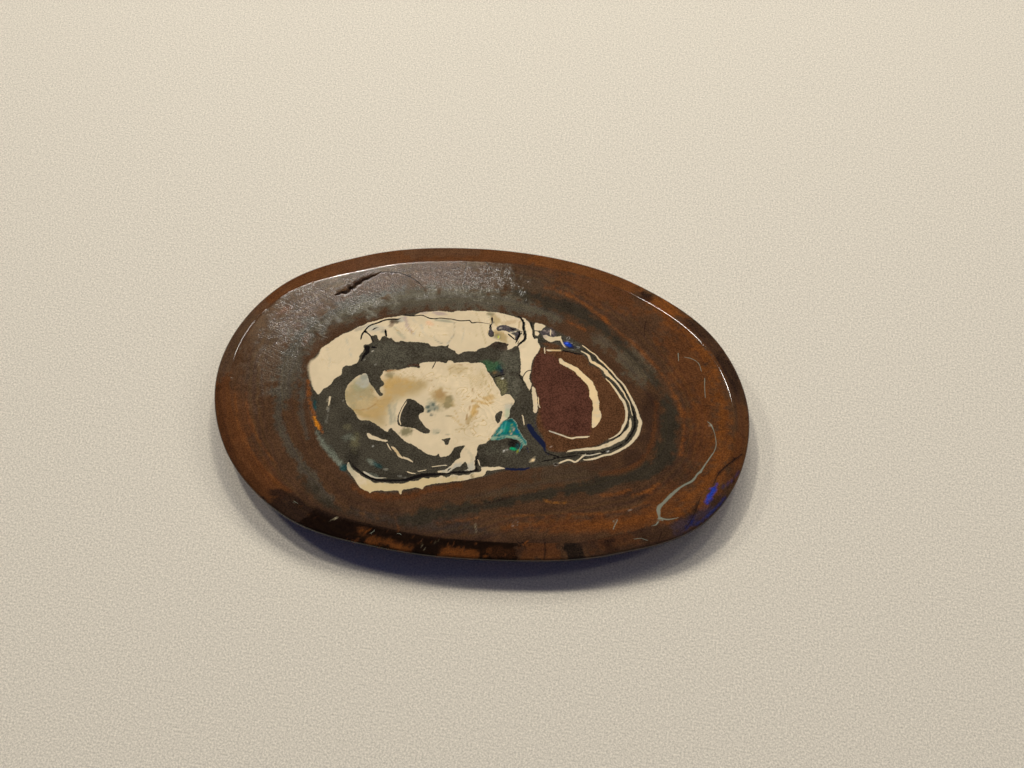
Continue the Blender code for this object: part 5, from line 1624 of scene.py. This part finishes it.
def wear_tree():
    """Cuts the fissure, the chips and scattered fine pits into a skin, then gives it its finishes."""
    tree = bpy.data.node_groups.new("stone_wear", "GeometryNodeTree")
    tree.is_modifier = True
    sockets = (("Skin", 'NodeSocketGeometry'), ("Fissure Path", 'NodeSocketObject'),
               ("Lip Share", 'NodeSocketFloat'), ("Lip Slope", 'NodeSocketFloat'),
               ("Chips", 'NodeSocketObject'), ("Pits per Square Metre", 'NodeSocketFloat'),
               ("Pit Radius", 'NodeSocketFloat'), ("Pit Depth", 'NodeSocketFloat'),
               ("Seed", 'NodeSocketInt'), ("Polished", 'NodeSocketMaterial'), ("Sawn", 'NodeSocketMaterial'))
    for label, kind in sockets:
        tree.interface.new_socket(name=label, in_out='INPUT', socket_type=kind)
    tree.interface.new_socket(name="Stone", in_out='OUTPUT', socket_type='NodeSocketGeometry')
    nodes = Nodes(tree)
    given = nodes.add("NodeGroupInput").outputs
    distance, half_width, fissure = groove(nodes, given["Fissure Path"], 'EDGES')
    lip_width = nodes.math('MULTIPLY', half_width, given["Lip Share"])
    lip_depth = nodes.math('MULTIPLY', lip_width, given["Lip Slope"])
    fissure = nodes.math('ADD', fissure, nodes.ramp(distance, 0.0, lip_width, lip_depth, 0.0, smooth=False))
    chips = groove(nodes, given["Chips"], 'POINTS')[2]
    scatter = nodes.add("GeometryNodeDistributePointsOnFaces", {
        "Mesh": given["Skin"], "Density": given["Pits per Square Metre"], "Seed": given["Seed"]}).outputs["Points"]
    gap = nodes.add("GeometryNodeProximity", {"Geometry": scatter}, target_element='POINTS').outputs["Distance"]
    pits = nodes.ramp(gap, 0.0, given["Pit Radius"], given["Pit Depth"], 0.0)
    cut = nodes.math('MAXIMUM', nodes.math('MAXIMUM', fissure, chips), pits)
    normal = nodes.add("GeometryNodeInputNormal").outputs["Normal"]
    inward = nodes.add("ShaderNodeVectorMath", {0: normal, 3: nodes.math('MULTIPLY', cut, -1.0)},
                       operation='SCALE').outputs[0]
    moved = nodes.add("GeometryNodeSetPosition", {"Geometry": given["Skin"], "Offset": inward}).outputs[0]
    whole = nodes.add("GeometryNodeRealizeInstances", {"Geometry": moved}).outputs[0]
    polished = nodes.add("GeometryNodeSetMaterial", {"Geometry": whole, "Material": given["Polished"]}).outputs[0]
    sawn = nodes.add("GeometryNodeInputNamedAttribute", {"Name": "sawn"}, data_type='BOOLEAN').outputs["Attribute"]
    finished = nodes.add("GeometryNodeSetMaterial", {
        "Geometry": polished, "Selection": sawn, "Material": given["Sawn"]}).outputs[0]
    nodes.add("NodeGroupOutput", {"Stone": finished})
    return tree


def wear(mesh, points, polished, sawn):
    """The worn stone as a plain object."""
    surface = Surface(points)
    route = smoothed(FISSURE, steps=4)
    lift = FACE_EDGE_HEIGHT + CROWN * 0.25
    fissure = path_object("fissure_path", [(x * MM, y * MM, lift) for x, y, _, _ in route],
                          {"half_width": route[:, 2] * MM, "depth": route[:, 3] * MM})
    places = [on_skin(surface, points, x, y) for x, y, _, _ in CHIPS]
    chips = path_object("chip_places", places, {
        "half_width": [radius * MM for _, _, radius, _ in CHIPS], "depth": [depth * MM for *_, depth in CHIPS]})
    rough = bpy.data.objects.new("unworn_skin", mesh)
    bpy.context.collection.objects.link(rough)
    modifier = rough.modifiers.new("stone_wear", 'NODES')
    modifier.node_group = wear_tree()
    values = {"Fissure Path": fissure, "Lip Share": LIP_SHARE, "Lip Slope": LIP_SLOPE, "Chips": chips,
              "Pits per Square Metre": 30000.0, "Pit Radius": 0.14 * MM, "Pit Depth": 0.004 * MM, "Seed": 7,
              "Polished": polished, "Sawn": sawn}
    for socket in modifier.node_group.interface.items_tree:
        if socket.name in values:
            modifier[socket.identifier] = values[socket.name]
    evaluated = rough.evaluated_get(bpy.context.evaluated_depsgraph_get())
    worn = bpy.data.meshes.new_from_object(evaluated, preserve_all_data_layers=True,
                                           depsgraph=bpy.context.evaluated_depsgraph_get())
    rough.modifiers.clear()
    for helper in (rough, fissure, chips):
        bpy.data.objects.remove(helper, do_unlink=True)
    worn.name = "boulder_opal"
    piece = bpy.data.objects.new("boulder_opal", worn)
    bpy.context.collection.objects.link(piece)
    return piece


# ---- The studio ----

AIM = Vector((0.002204, 0.002866, 0.0))
CAMERA_DISTANCE = 0.123
CAMERA_AZIMUTH = math.radians(8.0)
CAMERA_ELEVATION = math.radians(62.0)
LAMP_LIGHT = 2.98           # what all the lamps give the floor together
FLOOR_SIZE = 1.2

# Each lamp: direction in degrees from +X, height in degrees, metres away, share of the light, and
# its diameter as a share of the distance. These light the stone, and don't show in its polish.
LAMPS = (
    ("left_key", 128, 54, 1.20, 0.34, 0.100),
    ("left_low", 153, 43, 1.20, 0.16, 0.130),
    ("right_key", 75, 55, 1.20, 0.17, 0.090),
    ("right_low", 46, 45, 1.20, 0.08, 0.100),
    ("side", 16, 38, 1.20, 0.06, 0.120),
    ("wash", 93, 50, 0.22, 0.25, 0.300),
)
GLINT_TINT = (1.0, 0.96, 0.90)
SHEEN_TINT = (1.0, 0.95, 0.74)
LEFT_SHEEN_TINT = (1.0, 0.74, 0.46)
# Lights that show in the polish: direction, height, width and tallness in degrees, brightness, tint.
GLINTS = (
    ("far_left_glint", 110.5, 42, 5, 9, 75.0, GLINT_TINT),
    ("left_glint", 134, 45, 7, 3, 26.0, GLINT_TINT),
    ("right_glint", 75, 43, 8.8, 5, 46.0, GLINT_TINT),
    ("right_low_glint", 59, 47, 5, 5, 46.0, GLINT_TINT),
    ("sheen", 107.8, 51.0, 10, 7.2, 6.2, SHEEN_TINT),
    ("left_sheen", 119, 56, 2.8, 3, 1.6, LEFT_SHEEN_TINT),
)
GLINT_DISTANCE = 1.2
SKY = (0.045, 0.052, 0.108, 1.0)
MIRRORED_SKY = (0.012, 0.012, 0.014, 1.0)
BACKDROP = (0.62, 0.58, 0.52, 1.0)


def towards(azimuth, elevation):
    return Vector((math.cos(azimuth) * math.cos(elevation), math.sin(azimuth) * math.cos(elevation),
                   math.sin(elevation)))


def place_light(name, light, degrees, height, distance):
    lamp = bpy.data.objects.new(name, light)
    direction = towards(math.radians(degrees), math.radians(height))
    lamp.location = direction * distance
    lamp.rotation_euler = direction.to_track_quat('Z', 'Y').to_euler()
    bpy.context.collection.objects.link(lamp)
    return lamp


def add_lamp(name, degrees, height, distance, share, width):
    light = bpy.data.lights.new(name, 'AREA')
    light.shape = 'DISK'
    light.size = width * distance
    light.energy = share * LAMP_LIGHT * math.pi * distance ** 2 / math.sin(math.radians(height))
    light.color = (1.0, 0.94, 0.78)
    place_light(name, light, degrees, height, distance).visible_glossy = False


def add_glint(name, degrees, height, wide, tall, brightness, tint):
    light = bpy.data.lights.new(name, 'AREA')
    light.shape = 'RECTANGLE'
    light.size = 2.0 * GLINT_DISTANCE * math.tan(math.radians(wide / 2.0))
    light.size_y = 2.0 * GLINT_DISTANCE * math.tan(math.radians(tall / 2.0))
    light.energy = brightness * math.pi * light.size * light.size_y
    light.color = tint
    place_light(name, light, degrees, height, GLINT_DISTANCE).visible_diffuse = False


def add_sky():
    world = bpy.data.worlds.new("studio")
    world.use_nodes = True
    nodes = Nodes(world.node_tree)
    background = world.node_tree.nodes["Background"]
    path = nodes.add("ShaderNodeLightPath")
    sky = nodes.mix(path.outputs["Is Glossy Ray"], SKY, MIRRORED_SKY)
    nodes.feed(background.inputs["Color"], nodes.mix(path.outputs["Is Camera Ray"], sky, BACKDROP))
    bpy.context.scene.world = world


def add_floor():
    bpy.ops.mesh.primitive_plane_add(size=FLOOR_SIZE)
    floor = bpy.context.object
    floor.name = "floor"
    floor.data.materials.append(pale_floor())


def add_camera():
    data = bpy.data.cameras.new("camera")
    data.lens = 50.0
    data.sensor_width = 36.0
    data.clip_start = 0.005
    camera = bpy.data.objects.new("camera", data)
    direction = towards(CAMERA_AZIMUTH - math.pi / 2.0, CAMERA_ELEVATION)
    camera.location = AIM + direction * CAMERA_DISTANCE
    camera.rotation_euler = direction.to_track_quat('Z', 'Y').to_euler()
    bpy.context.collection.objects.link(camera)
    bpy.context.scene.camera = camera


def add_studio():
    add_floor()
    for lamp in LAMPS:
        add_lamp(*lamp)
    for glint in GLINTS:
        add_glint(*glint)
    add_sky()
    add_camera()
    bpy.context.scene.view_settings.view_transform = 'Standard'


def main():
    mesh, points = skin_mesh(build_skin())
    mark_skin(mesh, points)
    unfold(mesh, points)
    grain, scratches, thin_vein = stone_grain_group(), scratches_group(), thin_vein_group()
    stone = wear(mesh, points, polished_stone(grain, scratches, thin_vein), sawn_stone(grain, scratches))
    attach(stone, "root")
    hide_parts("opal_slab")
    add_studio()


main()
